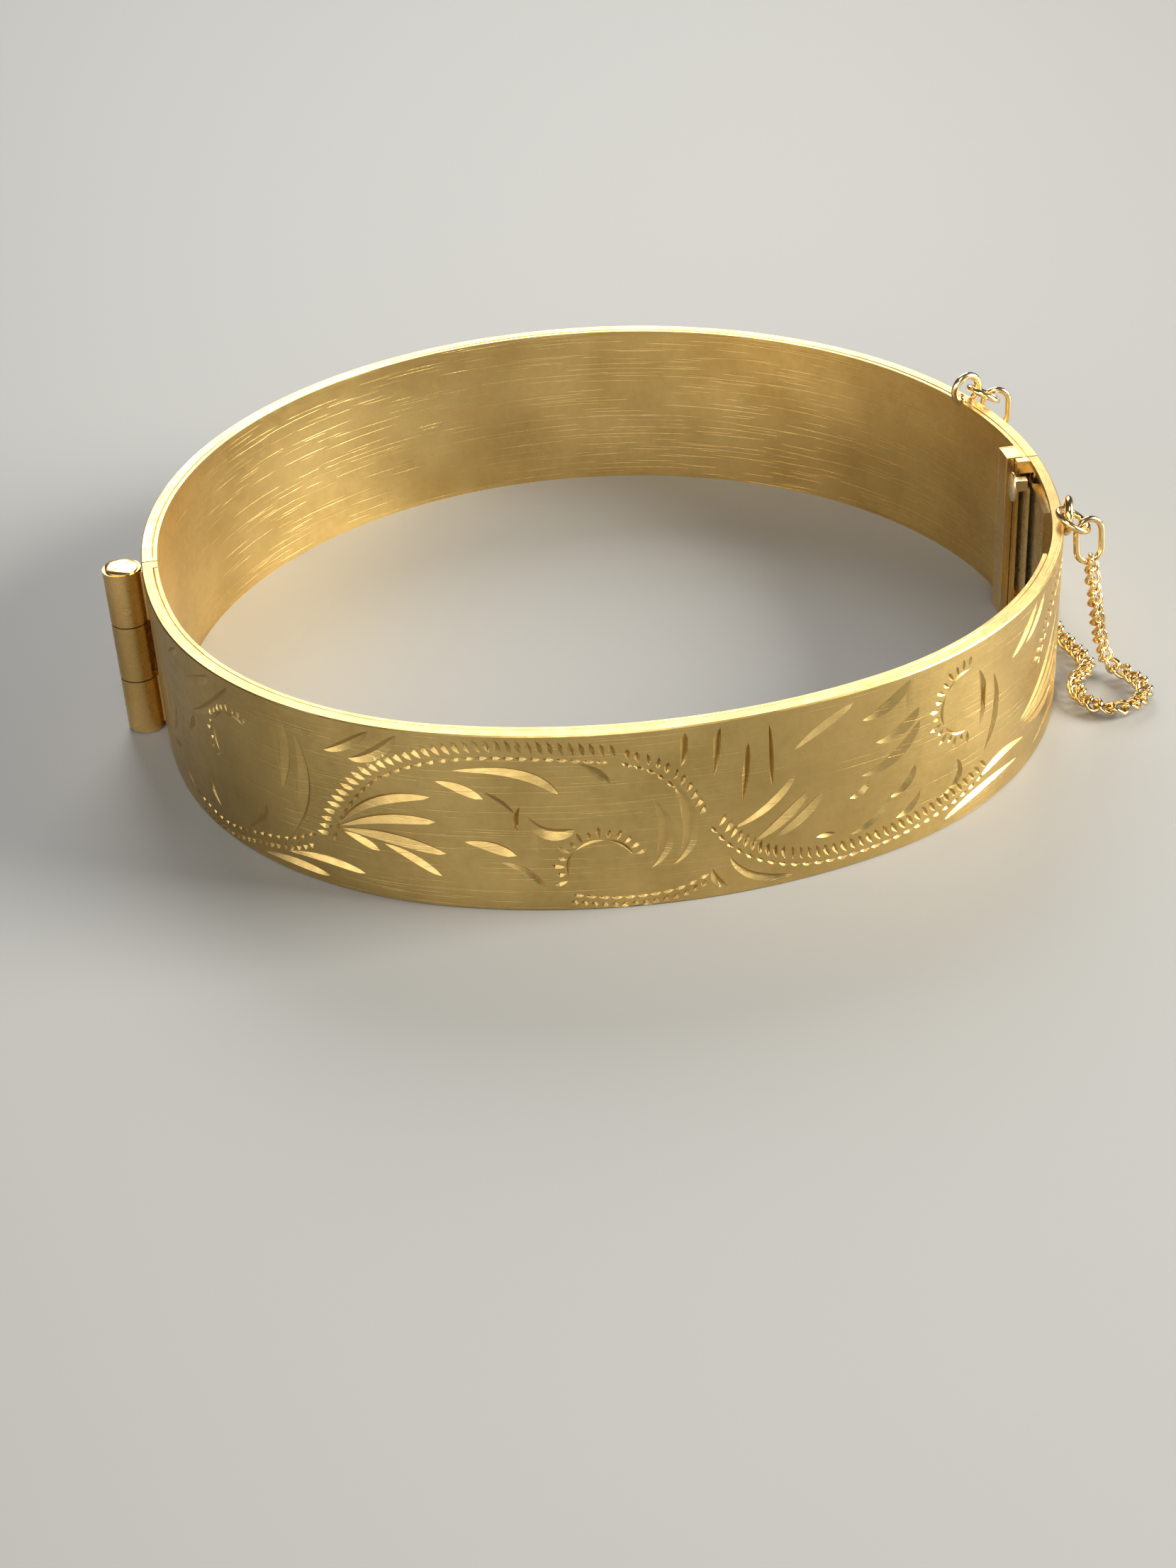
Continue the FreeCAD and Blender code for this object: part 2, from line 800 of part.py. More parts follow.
def make_chain():
    """The safety chain: closed oval links of one size, each turned a quarter from the last."""
    pattern = oval_link(
        "chain_link",
        FreeCAD.Placement(),
        size("chain_bend"),
        size("chain_side"),
        size("chain_wire"),
    )
    doc.recompute()
    line = chain_line()
    count = round(line.length() / DRIVING["chain_pitch"])
    joints = line.toShape().discretize(Number=count + 1)
    runs = [(far - near).normalize() for near, far in zip(joints, joints[1:])]
    faces = [carried(jump_frame("front")[0], runs[0], runs[0])]
    for before, after in zip(runs, runs[1:]):
        faces.append(carried(faces[-1], before, after))
    wanted = carried(jump_frame("rear")[0], runs[-1], runs[-1])
    if count % 2 == 0:
        wanted = runs[-1].cross(wanted)
    twist = math.degrees(faces[-1].getAngle(wanted))
    if faces[-1].cross(wanted).dot(runs[-1]) < 0:
        twist = -twist
    twist -= 180 * round(twist / 180)
    links = []
    for number, (near, far, run, face) in enumerate(zip(joints, joints[1:], runs, faces)):
        roll = 90 * (number % 2) + twist * number / (count - 1)
        normal = FreeCAD.Rotation(run, roll).multVec(face)
        turn = FreeCAD.Rotation(run.cross(normal), run, normal, "ZYX")
        link = pattern.Shape.copy()
        link.Placement = FreeCAD.Placement((near + far) / 2, turn)
        links.append(link)
    chain = doc.addObject("Part::Feature", "safety_chain")
    chain.Shape = Part.Compound(links)
    return [chain]


def export(nodes):
    """Checks every object of the document, then writes one file for each sub-part."""
    doc.recompute()
    for thing in doc.Objects:
        if "Invalid" in thing.State or "Error" in thing.State:
            raise RuntimeError(f"{thing.Label} could not be made: {thing.State}")
    for node in nodes:
        if node.Shape.isNull() or not node.Shape.isValid():
            raise RuntimeError(f"{node.Label} has no valid shape")
    os.makedirs("parts", exist_ok=True)
    for node in nodes:
        node.Shape.exportStep(f"parts/{node.Label}.step")


nodes = make_bands()
nodes += make_hinge()
nodes += make_clasp()
nodes += make_loops()
nodes += make_rings("front")
nodes += make_rings("rear")
nodes += make_chain()
export(nodes)
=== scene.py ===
"""A hinged gold bangle: engraved front, plain back, box clasp and a fine safety chain.

Lengths in the size classes are millimetres; every mesh is put in place in metres.
A station is a distance in millimetres along the outer face of the band, anticlockwise seen
from above, from its widest point beside the clasp.
"""

import logging
import math
from dataclasses import dataclass
from enum import Enum
from typing import Iterable, Sequence

import bmesh
import bpy
import numpy as np
from mathutils import Matrix, Vector
from mathutils.geometry import delaunay_2d_cdt


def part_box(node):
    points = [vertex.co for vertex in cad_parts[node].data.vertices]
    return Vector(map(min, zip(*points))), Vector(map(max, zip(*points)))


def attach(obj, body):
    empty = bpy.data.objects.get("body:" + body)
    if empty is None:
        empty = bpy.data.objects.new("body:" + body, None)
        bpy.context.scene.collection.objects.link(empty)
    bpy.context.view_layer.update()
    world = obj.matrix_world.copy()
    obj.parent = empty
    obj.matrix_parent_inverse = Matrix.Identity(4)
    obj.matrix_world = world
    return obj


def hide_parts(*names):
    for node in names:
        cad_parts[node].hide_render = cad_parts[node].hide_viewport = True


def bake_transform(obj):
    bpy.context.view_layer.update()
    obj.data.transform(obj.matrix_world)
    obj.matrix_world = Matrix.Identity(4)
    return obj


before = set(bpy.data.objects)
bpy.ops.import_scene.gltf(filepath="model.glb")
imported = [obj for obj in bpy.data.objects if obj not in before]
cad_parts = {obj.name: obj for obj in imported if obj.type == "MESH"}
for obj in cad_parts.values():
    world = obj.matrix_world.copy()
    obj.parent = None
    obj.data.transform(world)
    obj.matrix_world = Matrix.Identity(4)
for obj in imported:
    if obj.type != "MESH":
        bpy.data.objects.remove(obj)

MM = 0.001
UV_NAME = "along_band"
log = logging.getLogger("bangle")

Place = tuple[float, float, float]
Section = list[tuple[float, float]]
Stations = list[float]


# ------------------------------------------------------------------ the band's outline


@dataclass(frozen=True)
class Arc:
    """One round stretch of the outline, with its angles in degrees."""

    x: float
    y: float
    radius: float
    start: float
    end: float

    @property
    def length(self) -> float:
        """Length of the arc."""
        return self.radius * math.radians(self.end - self.start)


@dataclass(frozen=True)
class BandSizes:
    """Driving sizes of the band and of its two halves."""

    rear_radius: float = 31.5
    end_radius: float = 40.0
    end_turn: float = 14.0
    corner_radius: float = 26.0
    front_depth: float = 30.9
    widest_line: float = -0.6
    height: float = 12.7
    thickness: float = 1.1
    skin: float = 0.3
    liner: float = 0.28
    rim: float = 0.35
    bevel: float = 0.08
    hinge_line: float = -2.2
    clasp_line: float = -0.5
    half_gap: float = 0.12
    neck: float = 0.45
    pocket: float = 15.0
    pocket_rim: float = 0.75
    seam: float = 0.8


class Outline:
    """The plan curve that every sheet of the band follows."""

    def __init__(self, sizes: BandSizes, x: float, y: float) -> None:
        """Lay out the arcs.

        Args:
            sizes: the band's sizes.
            x: middle of the oval from the origin, across.
            y: middle of the oval from the origin, front to back.
        """
        self.arcs = self._arcs(sizes, x, y)
        self.length = sum(arc.length for arc in self.arcs)
        rear, left = self.arcs[0], self.arcs[1]
        rise = (sizes.clasp_line - sizes.widest_line) / rear.radius
        fall = (sizes.widest_line - sizes.hinge_line) / left.radius
        self.clasp = rear.radius * math.asin(rise)
        self.hinge = rear.length + left.radius * math.asin(fall)

    @staticmethod
    def _arcs(sizes: BandSizes, x: float, y: float) -> list[Arc]:
        """The six tangent arcs of the oval, from the widest point beside the clasp.

        Args:
            sizes: the band's sizes.
            x: middle of the oval from the origin, across.
            y: middle of the oval from the origin, front to back.

        Returns:
            The arcs, anticlockwise.
        """
        turn = math.radians(sizes.end_turn)
        end_x = sizes.end_radius - sizes.rear_radius
        reach = sizes.end_radius - sizes.corner_radius
        corner_x = reach * math.cos(turn) - end_x
        corner_y = sizes.widest_line - reach * math.sin(turn)
        drop = sizes.front_depth + corner_y
        front = (corner_x**2 + drop**2 - sizes.corner_radius**2) / (2 * (drop - sizes.corner_radius))
        front_y = front - sizes.front_depth
        half = math.degrees(math.atan2(corner_x, front_y - corner_y))
        line = sizes.widest_line
        return [
            Arc(x, y + line, sizes.rear_radius, 0, 180),
            Arc(x + end_x, y + line, sizes.end_radius, 180, 180 + sizes.end_turn),
            Arc(x - corner_x, y + corner_y, sizes.corner_radius, 180 + sizes.end_turn, 270 - half),
            Arc(x, y + front_y, front, 270 - half, 270 + half),
            Arc(x + corner_x, y + corner_y, sizes.corner_radius, 270 + half, 360 - sizes.end_turn),
            Arc(x - end_x, y + line, sizes.end_radius, 360 - sizes.end_turn, 360),
        ]

    def heading(self, station: float) -> float:
        """Angle of the outward normal at a station, in radians from +X."""
        return self._find(station)[1]

    def _find(self, station: float) -> tuple[Arc, float]:
        """The arc at a station.

        Args:
            station: a station, on any lap.

        Returns:
            The arc and the angle on it, in radians.
        """
        left = station % self.length
        for arc in self.arcs:
            if left <= arc.length:
                return arc, math.radians(arc.start) + left / arc.radius
            left -= arc.length
        return self.arcs[-1], math.radians(self.arcs[-1].end)

    def point(self, station: float, depth: float, height: float) -> Vector:
        """A point of the band in the frame.

        Args:
            station: where it is along the band.
            depth: how far in from the outer face, in millimetres.
            height: how far up, in millimetres.

        Returns:
            The point in metres.
        """
        arc, angle = self._find(station)
        reach = arc.radius - depth
        place = (arc.x + reach * math.cos(angle), arc.y + reach * math.sin(angle), height)
        return Vector(place) * MM

    def normal(self, station: float) -> Vector:
        """The outward direction at a station."""
        angle = self.heading(station)
        return Vector((math.cos(angle), math.sin(angle), 0.0))


def spread(start: float, end: float, step: float) -> Stations:
    """Evenly spaced stations from start to end, both included, at most a step apart."""
    count = max(1, math.ceil((end - start) / step))
    return [start + (end - start) * i / count for i in range(count + 1)]


# ------------------------------------------------------------------ mesh helpers


class MeshMaker:
    """Collects faces for one piece and turns them into an object."""

    def __init__(self, name: str) -> None:
        """Start an empty piece.

        Args:
            name: name of the piece.
        """
        self.name = name
        self.bm = bmesh.new()
        self.uv = self.bm.loops.layers.uv.new(UV_NAME)

    def face(self, points: Sequence[Vector], uvs: Sequence[tuple[float, float]], slot: int = 0) -> None:
        """Add one face with its place on the unrolled band.

        Args:
            points: corners in metres.
            uvs: unrolled place of each corner, in millimetres.
            slot: material slot of the face.
        """
        made = self.bm.faces.new([self.bm.verts.new(p) for p in points])
        made.material_index = slot
        for loop, uv in zip(made.loops, uvs):
            loop[self.uv].uv = uv

    def finish(self, sharp: float = 28.0, turn_out: bool = True, weld: float = 2e-6) -> bpy.types.Object:
        """Weld the faces and make the object.

        Args:
            sharp: edges that turn more than this, in degrees, stay sharp.
            turn_out: turn every face outwards, for a closed shape.
            weld: corners nearer than this, in metres, become one.

        Returns:
            The object, at the origin.
        """
        bmesh.ops.remove_doubles(self.bm, verts=self.bm.verts[:], dist=weld)
        bmesh.ops.dissolve_degenerate(self.bm, edges=self.bm.edges[:], dist=weld / 4)
        if turn_out:
            bmesh.ops.recalc_face_normals(self.bm, faces=self.bm.faces[:])
        mesh = bpy.data.meshes.new(self.name)
        self.bm.to_mesh(mesh)
        self.bm.free()
        mesh.polygons.foreach_set("use_smooth", [True] * len(mesh.polygons))
        mesh.set_sharp_from_angle(angle=math.radians(sharp))
        made = bpy.data.objects.new(self.name, mesh)
        bpy.context.scene.collection.objects.link(made)
        return made


class BandBuilder:
    """Sweeps sections along the band's outline."""

    STEP = 0.5

    def __init__(self, outline: Outline) -> None:
        """Keep the outline that the sections follow."""
        self.outline = outline

    def ring(self, station: float, section: Section) -> list[Vector]:
        """The corners of a section at a station."""
        return [self.outline.point(station, depth, height) for depth, height in section]

    def sweep(
        self,
        maker: MeshMaker,
        stations: Stations,
        section: Section,
        skip: int | None = None,
        capped: tuple[bool, bool] = (True, True),
    ) -> None:
        """Sweep a closed section along stations.

        Args:
            maker: the piece that gets the faces.
            stations: where the section stands.
            section: (depth, height) corners in order.
            skip: a side of the section that is left open, by its first corner.
            capped: whether the first and the last end are closed.
        """
        count = len(section)
        around = [0.0]
        for index in range(count):
            here, there = section[index], section[(index + 1) % count]
            around.append(around[-1] + math.dist(here, there))
        rings = [self.ring(s, section) for s in stations]
        for step in range(len(stations) - 1):
            for side in range(count):
                if side == skip:
                    continue
                other = (side + 1) % count
                here, there = rings[step], rings[step + 1]
                corners = [here[side], there[side], there[other], here[other]]
                u0, u1 = stations[step], stations[step + 1]
                v0, v1 = around[side], around[side + 1]
                maker.face(corners, [(u0, v0), (u1, v0), (u1, v1), (u0, v1)])
        for end, closed in ((0, capped[0]), (-1, capped[1])):
            if closed:
                maker.face(rings[end], [(stations[end] + d, h) for d, h in section])

    def plate(self, maker: MeshMaker, stations: Stations, outer: Section, inner: Section) -> None:
        """Sweep a section with a window.

        Args:
            maker: the piece that gets the faces.
            stations: where the section stands.
            outer: outline of the section.
            inner: outline of the window, with as many corners.
        """
        self.sweep(maker, stations, outer, capped=(False, False))
        self.sweep(maker, stations, inner, capped=(False, False))
        count = len(outer)
        for station in (stations[0], stations[-1]):
            far = self.ring(station, outer)
            near = self.ring(station, inner)
            for i in range(count):
                j = (i + 1) % count
                places = [outer[i], outer[j], inner[j], inner[i]]
                maker.face([far[i], far[j], near[j], near[i]], places)


def box_section(near: float, far: float, low: float, high: float) -> Section:
    """A rectangle between two depths and two heights."""
    return [(near, low), (near, high), (far, high), (far, low)]


def bevelled(made: bpy.types.Object, width: float, segments: int = 2) -> bpy.types.Object:
    """Round the edges of a piece.

    Args:
        made: the piece.
        width: width of the rounding, in millimetres.
        segments: how many flats it has.

    Returns:
        The same piece.
    """
    bevel = made.modifiers.new("edges", "BEVEL")
    bevel.width = width * MM
    bevel.segments = segments
    bevel.limit_method = "ANGLE"
    bevel.angle_limit = math.radians(35)
    bevel.harden_normals = True
    return made


# ------------------------------------------------------------------ engraving

Spot = tuple[float, float]


class CutShape(Enum):
    """How a cut swells from its start to its end."""

    LEAF = "leaf"
    BLADE = "blade"
    TICK = "tick"


@dataclass(frozen=True)
class Cut:
    """One stroke of the graver on the unrolled front: (distance from the hinge, height) in mm."""

    start: Spot
    bend: Spot
    end: Spot
    width: float
    depth: float = 0.1
    shape: CutShape = CutShape.LEAF
    lean: float = 0.68

    SEGMENT = 0.42

    def swell(self, t: float) -> float:
        """How wide the cut is along its length.

        Args:
            t: a share of the length.

        Returns:
            The share of the full width there.
        """
        if self.shape is CutShape.LEAF:
            return math.sin(math.pi * t**1.35) ** 0.5
        if self.shape is CutShape.BLADE:
            return math.sin(math.pi * t) ** 0.8
        return math.sqrt(max(0.0, 1 - (2 * t - 1) ** 2))

    def spine(self) -> np.ndarray:
        """The bottom of the cut, as a quadratic curve.

        Returns:
            Its points, one in each row.
        """
        length = math.dist(self.start, self.bend) + math.dist(self.bend, self.end)
        count = max(3, math.ceil(length / self.SEGMENT))
        t = np.linspace(0, 1, count + 1)[:, None]
        a, b, c = (np.array(p, float) for p in (self.start, self.bend, self.end))
        return a * (1 - t) ** 2 + b * 2 * t * (1 - t) + c * t**2

    def sides(self, spine: np.ndarray) -> tuple[np.ndarray, np.ndarray, np.ndarray]:
        """How far the facets reach and how deep they go.

        Args:
            spine: points along the bottom of the cut.

        Returns:
            Left width, right width and depth at each point.
        """
        t = np.linspace(0, 1, len(spine))
        swell = np.array([self.swell(x) for x in t])
        wide = max(self.lean, 1 - self.lean)
        left = wide if self.opens_left() else 1 - wide
        return self.width * left * swell, self.width * (1 - left) * swell, self.depth * swell

    def opens_left(self) -> bool:
        """Whether the wide facet is on the left: it always faces up and toward the clasp."""
        along, up = self.end[0] - self.start[0], self.end[1] - self.start[1]
        return 0.85 * along < 0.5 * up

    def outline(self, low: float, high: float) -> tuple[np.ndarray, np.ndarray]:
        """The lines that the face is divided along.

        Args:
            low: least height of a point.
            high: greatest height of a point.

        Returns:
            The spine and the closed edge of the cut.
        """
        spine = self.spine()
        left, right, _ = self.sides(spine)
        along = np.gradient(spine, axis=0)
        along /= np.maximum(np.linalg.norm(along, axis=1), 1e-9)[:, None]
        across = np.stack([-along[:, 1], along[:, 0]], axis=1)
        one = spine[1:-1] + across[1:-1] * left[1:-1, None]
        two = spine[1:-1] - across[1:-1] * right[1:-1, None]
        edge = np.concatenate([spine[:1], one, spine[-1:], two[::-1]])
        edge[:, 1] = np.clip(edge[:, 1], low, high)
        spine[:, 1] = np.clip(spine[:, 1], low, high)
        return spine, edge

    def depth_at(self, spots: np.ndarray, low: float, high: float) -> np.ndarray:
        """How deep the cut is over the unrolled face.

        Args:
            spots: places on the face, one in each row.
            low: least height of the spine.
            high: greatest height of the spine.

        Returns:
            The depth at each spot.
        """
        spine = self.spine()
        spine[:, 1] = np.clip(spine[:, 1], low, high)
        left, right, deep = self.sides(spine)
        best = np.full(len(spots), 1e9)
        found = np.zeros(len(spots))
        for i in range(len(spine) - 1):
            base, run = spine[i], spine[i + 1] - spine[i]
            size = max(float(run @ run), 1e-12)
            t = np.clip((spots - base) @ run / size, 0, 1)
            away = spots - (base + t[:, None] * run)
            distance = np.linalg.norm(away, axis=1)
            side = run[0] * away[:, 1] - run[1] * away[:, 0]
            on_left = left[i] + t * (left[i + 1] - left[i])
            on_right = right[i] + t * (right[i + 1] - right[i])
            width = np.where(side > 0, on_left, on_right)
            slope = np.clip(1 - distance / np.maximum(width, 1e-6), 0, 1)
            depth = (deep[i] + t * (deep[i + 1] - deep[i])) * slope
            nearer = distance < best - 1e-9
            best = np.where(nearer, distance, best)
            found = np.where(nearer, depth, found)
        return found


def smooth_path(points: Sequence[Spot], pitch: float) -> list[tuple[Spot, Spot]]:
    """Walk along a smooth curve through points.

    Args:
        points: places that the curve goes through.
        pitch: distance from one place to the next.

    Returns:
        The places, each with its direction.
    """
    before = tuple(2 * np.array(points[0]) - points[1])
    after = tuple(2 * np.array(points[-1]) - points[-2])
    ends = [before, *points, after]
    fine: list[np.ndarray] = []
    for p0, p1, p2, p3 in zip(ends, ends[1:], ends[2:], ends[3:]):
        a, b, c, d = (np.array(p, float) for p in (p0, p1, p2, p3))
        for t in np.linspace(0, 1, 24, endpoint=False):
            squared = (2 * a - 5 * b + 4 * c - d) * t**2
            cubed = (3 * b - a - 3 * c + d) * t**3
            fine.append(0.5 * (2 * b + (c - a) * t + squared + cubed))
    fine.append(np.array(points[-1], float))
    line = np.array(fine)
    steps = np.linalg.norm(np.diff(line, axis=0), axis=1)
    travelled = np.concatenate([[0], np.cumsum(steps)])
    found = []
    for distance in np.arange(pitch / 2, travelled[-1], pitch):
        place = np.array([np.interp(distance, travelled, line[:, k]) for k in (0, 1)])
        ahead = np.array([np.interp(distance + 0.05, travelled, line[:, k]) for k in (0, 1)])
        behind = np.array([np.interp(distance - 0.05, travelled, line[:, k]) for k in (0, 1)])
        way = (ahead - behind) / max(float(np.linalg.norm(ahead - behind)), 1e-9)
        found.append((tuple(place), tuple(way)))
    return found


# how far presses stand off the line they follow, how they lean, and half the length of a dash
PRESS_GAP = 0.12
PRESS_LEAN = 0.6
DASH_HALF = 0.36


def rope(points: Sequence[Spot], pitch: float = 0.62, side: float = 1.0, reach: float = 0.95) -> list[Cut]:
    """A double row of short cuts along a curve: slanted presses on one side, dashes on the other.

    Args:
        points: places that the curve goes through.
        pitch: distance from one press to the next.
        side: 1 for presses on the left of the curve, -1 for the right.
        reach: length of a press across the curve.

    Returns:
        The cuts.
    """
    cuts = []
    for place, way in smooth_path(points, pitch):
        p, d = np.array(place), np.array(way)
        out = np.array([-d[1], d[0]]) * side
        root = p + out * PRESS_GAP + d * 0.12
        tip = p + out * (PRESS_GAP + reach) - d * 0.3
        swing = p + out * (PRESS_GAP + reach * 0.45) - d * 0.02
        cuts.append(Cut(tuple(root), tuple(swing), tuple(tip), 0.42, 0.15, CutShape.LEAF, PRESS_LEAN))
    for place, way in smooth_path(points, pitch * 1.3):
        p, d = np.array(place), np.array(way)
        dash = p - np.array([-d[1], d[0]]) * side * 0.22
        ends = tuple(dash - d * DASH_HALF), tuple(dash), tuple(dash + d * DASH_HALF)
        cuts.append(Cut(*ends, 0.28, 0.12, CutShape.TICK, PRESS_LEAN))
    return cuts


def curl(centre: Spot, radius: float, start: float, end: float, tick: float = 0.7) -> list[Cut]:
    """The eye of a scroll: an arc with short presses standing out from it.

    Args:
        centre: middle of the arc.
        radius: its radius.
        start: where it starts, in degrees.
        end: where it ends, in degrees.
        tick: mean length of a press.

    Returns:
        The cuts.
    """
    cuts = []
    count = max(4, int(radius * math.radians(abs(end - start)) / 0.48))
    for i in range(count + 1):
        angle = math.radians(start + (end - start) * i / count)
        out = np.array([math.cos(angle), math.sin(angle)])
        root = np.array(centre) + out * (radius + PRESS_GAP)
        tip = root + out * tick * (1.0 + 0.25 * math.sin(3 * i))
        middle = (root + tip) / 2
        cuts.append(Cut(tuple(root), tuple(middle), tuple(tip), 0.33, 0.13, CutShape.LEAF, PRESS_LEAN))
    span = math.radians(end - start)
    for i in range(3):
        a0 = math.radians(start) + span * i / 3
        a1 = a0 + span / 3 * 0.92
        far = radius / math.cos((a1 - a0) / 2)
        places = (a0, radius), ((a0 + a1) / 2, far), (a1, radius)
        ends = [(centre[0] + r * math.cos(a), centre[1] + r * math.sin(a)) for a, r in places]
        cuts.append(Cut(*ends, 0.26, 0.1, CutShape.BLADE, 0.5))
    return cuts


def leaf(start: Spot, bend: Spot, end: Spot, width: float = 0.5, lean: float = 0.68) -> Cut:
    """A bright leaf stroke that swells near its start."""
    return Cut(start, bend, end, width * 1.15, 0.21, CutShape.LEAF, lean)


def blade(start: Spot, bend: Spot, end: Spot, width: float = 0.45, lean: float = 0.3) -> Cut:
    """A stroke that is pointed at both ends."""
    return Cut(start, bend, end, width * 1.1, 0.2, CutShape.BLADE, lean)


def engraving() -> list[Cut]:
    """The foliate scrolls on the front half, from the hinge to the clasp.

    Returns:
        Every stroke.
    """
    cuts: list[Cut] = []
    # beside the hinge: upright reeds and drops
    cuts += [
        blade((6.4, 10.6), (6.6, 7.0), (7.4, 4.6), 0.4),
        blade((8.4, 8.3), (8.2, 6.4), (7.5, 5.0), 0.4),
        blade((9.7, 7.2), (9.6, 5.2), (8.0, 4.1), 0.45),
        blade((7.6, 3.4), (9.0, 3.2), (10.2, 3.9), 0.35),
        leaf((10.0, 11.2), (10.9, 11.7), (12.0, 12.2), 0.5),
        leaf((2.4, 9.6), (3.2, 7.2), (3.0, 4.6), 0.4),
        leaf((4.2, 10.4), (5.0, 8.0), (4.7, 5.2), 0.4),
        leaf((13.1, 10.9), (14.6, 11.1), (16.3, 12.2), 0.6),
        leaf((12.9, 8.2), (15.2, 9.0), (18.3, 12.2), 0.6),
        leaf((12.0, 6.2), (12.7, 6.9), (13.2, 7.9), 0.6),
        blade((10.2, 2.1), (12.0, 0.9), (13.4, 1.8), 0.4),
        leaf((15.4, 2.0), (14.2, 3.2), (14.6, 4.6), 0.45),
    ]
    cuts += curl((18.3, 7.9), 2.3, 60, 215, 0.6)
    cuts += [
        blade((23.1, 11.4), (23.6, 8.8), (22.4, 6.3), 0.7),
        blade((24.0, 10.8), (25.6, 6.8), (22.7, 2.9), 0.9),
        blade((20.7, 4.6), (20.2, 2.6), (17.8, 1.3), 0.7),
    ]
    cuts += rope([(12.5, 1.0), (16.0, 0.8), (19.5, 1.6), (22.6, 2.4), (24.6, 3.4)], side=-1, reach=0.6)
    # first scroll
    arch = [(25.9, 3.6), (27.0, 6.1), (29.3, 8.9), (32.4, 10.6), (36.2, 11.35), (40.4, 11.3), (44.4, 10.9)]
    cuts += rope(arch)
    cuts += rope([(44.9, 10.8), (46.9, 9.9), (48.4, 8.3), (49.4, 6.2)], side=1, reach=0.7)
    cuts += [
        leaf((26.7, 5.0), (29.0, 8.3), (33.1, 8.1), 0.62),
        leaf((26.8, 4.9), (30.0, 6.9), (33.3, 6.3), 0.66),
        leaf((26.9, 4.7), (30.3, 5.4), (33.8, 4.0), 0.74),
        leaf((27.0, 4.5), (28.4, 4.4), (29.4, 3.6), 0.5),
        leaf((29.8, 4.2), (31.6, 3.9), (33.4, 2.3), 0.5),
        leaf((26.2, 10.3), (27.4, 10.7), (29.5, 12.3), 0.6, 0.4),
        leaf((27.9, 10.1), (29.4, 10.2), (31.3, 12.3), 0.75, 0.4),
        leaf((20.0, 0.55), (22.8, 1.3), (25.5, 0.7), 0.5),
        leaf((22.2, 1.5), (25.4, 2.5), (28.2, 1.6), 0.5),
        leaf((34.6, 10.15), (39.6, 11.0), (41.0, 8.6), 0.62, 0.3),
        leaf((33.5, 9.3), (35.2, 9.3), (36.4, 8.2), 0.62, 0.3),
        blade((36.4, 8.7), (37.6, 8.4), (38.4, 7.0), 0.3),
        leaf((38.6, 7.7), (38.2, 6.8), (38.4, 5.9), 0.34),
        leaf((39.0, 7.0), (39.9, 5.2), (41.9, 6.0), 0.78, 0.4),
        leaf((35.0, 5.0), (36.8, 5.2), (38.2, 4.1), 0.7),
        leaf((37.2, 3.6), (38.8, 3.4), (39.9, 1.7), 0.45, 0.4),
        leaf((42.2, 10.7), (43.6, 10.4), (44.2, 9.1), 0.5, 0.3),
        blade((46.7, 7.8), (48.5, 4.8), (46.4, 2.8), 0.95, 0.6),
        blade((47.8, 9.1), (50.3, 4.9), (47.8, 2.9), 0.95, 0.6),
    ]
    cuts += curl((43.4, 3.0), 2.15, 25, 200, 0.75)
    cuts += rope([(41.4, 0.95), (44.5, 0.6), (47.8, 0.8), (50.0, 1.6)], side=-1, reach=0.35)
    # strokes that hang from the rim
    cuts += [
        leaf((48.4, 9.9), (48.9, 10.8), (48.7, 12.3), 0.55),
        leaf((50.4, 8.9), (50.8, 10.4), (50.9, 12.3), 0.6),
        leaf((52.2, 6.8), (52.6, 8.6), (52.6, 10.9), 0.4),
        leaf((54.1, 7.5), (54.1, 9.6), (53.9, 11.9), 0.4),
    ]
    # second scroll
    sweep = [(50.3, 5.5), (51.7, 3.7), (53.8, 2.2), (56.6, 1.3), (60.0, 1.1), (64.0, 1.4), (68.0, 2.0)]
    cuts += rope([*sweep, (71.2, 2.9)])
    cuts += [
        leaf((50.2, 2.2), (50.3, 1.3), (51.2, 0.6), 0.5),
        leaf((51.3, 2.9), (52.2, 0.8), (55.4, 0.6), 0.5),
        leaf((52.9, 3.7), (54.6, 4.7), (56.5, 6.6), 0.66, 0.35),
        leaf((54.0, 3.6), (55.8, 4.4), (57.4, 6.2), 0.66, 0.35),
        leaf((51.5, 4.9), (54.0, 5.8), (55.6, 8.0), 0.5, 0.35),
        leaf((55.5, 9.7), (57.0, 11.0), (59.5, 12.0), 0.55),
        leaf((60.1, 10.5), (61.8, 10.8), (63.6, 12.3), 0.75),
        leaf((61.1, 8.6), (62.9, 8.7), (64.3, 10.1), 0.75),
        leaf((60.1, 6.5), (62.6, 6.7), (64.4, 9.1), 0.75),
        leaf((59.3, 5.1), (60.0, 5.2), (60.7, 6.0), 0.45),
        leaf((62.2, 4.2), (63.6, 4.5), (64.1, 6.0), 0.55),
        blade((59.4, 2.4), (61.5, 2.8), (62.4, 4.6), 0.5),
        blade((62.7, 2.5), (64.0, 2.8), (64.6, 3.9), 0.5),
        blade((57.0, 2.9), (57.7, 3.1), (58.4, 2.8), 0.35),
        blade((67.7, 4.9), (68.6, 3.2), (66.3, 2.6), 0.5),
        blade((69.5, 10.7), (70.9, 8.6), (69.8, 6.3), 0.62),
        blade((71.1, 9.7), (72.6, 6.6), (70.4, 4.2), 0.62),
        leaf((75.6, 2.6), (72.6, 3.5), (70.2, 2.4), 0.55, 0.4),
        leaf((74.6, 1.5), (70.0, 2.0), (66.8, 0.7), 0.5, 0.4),
    ]
    cuts += curl((68.4, 8.9), 2.2, 85, 275, 0.8)
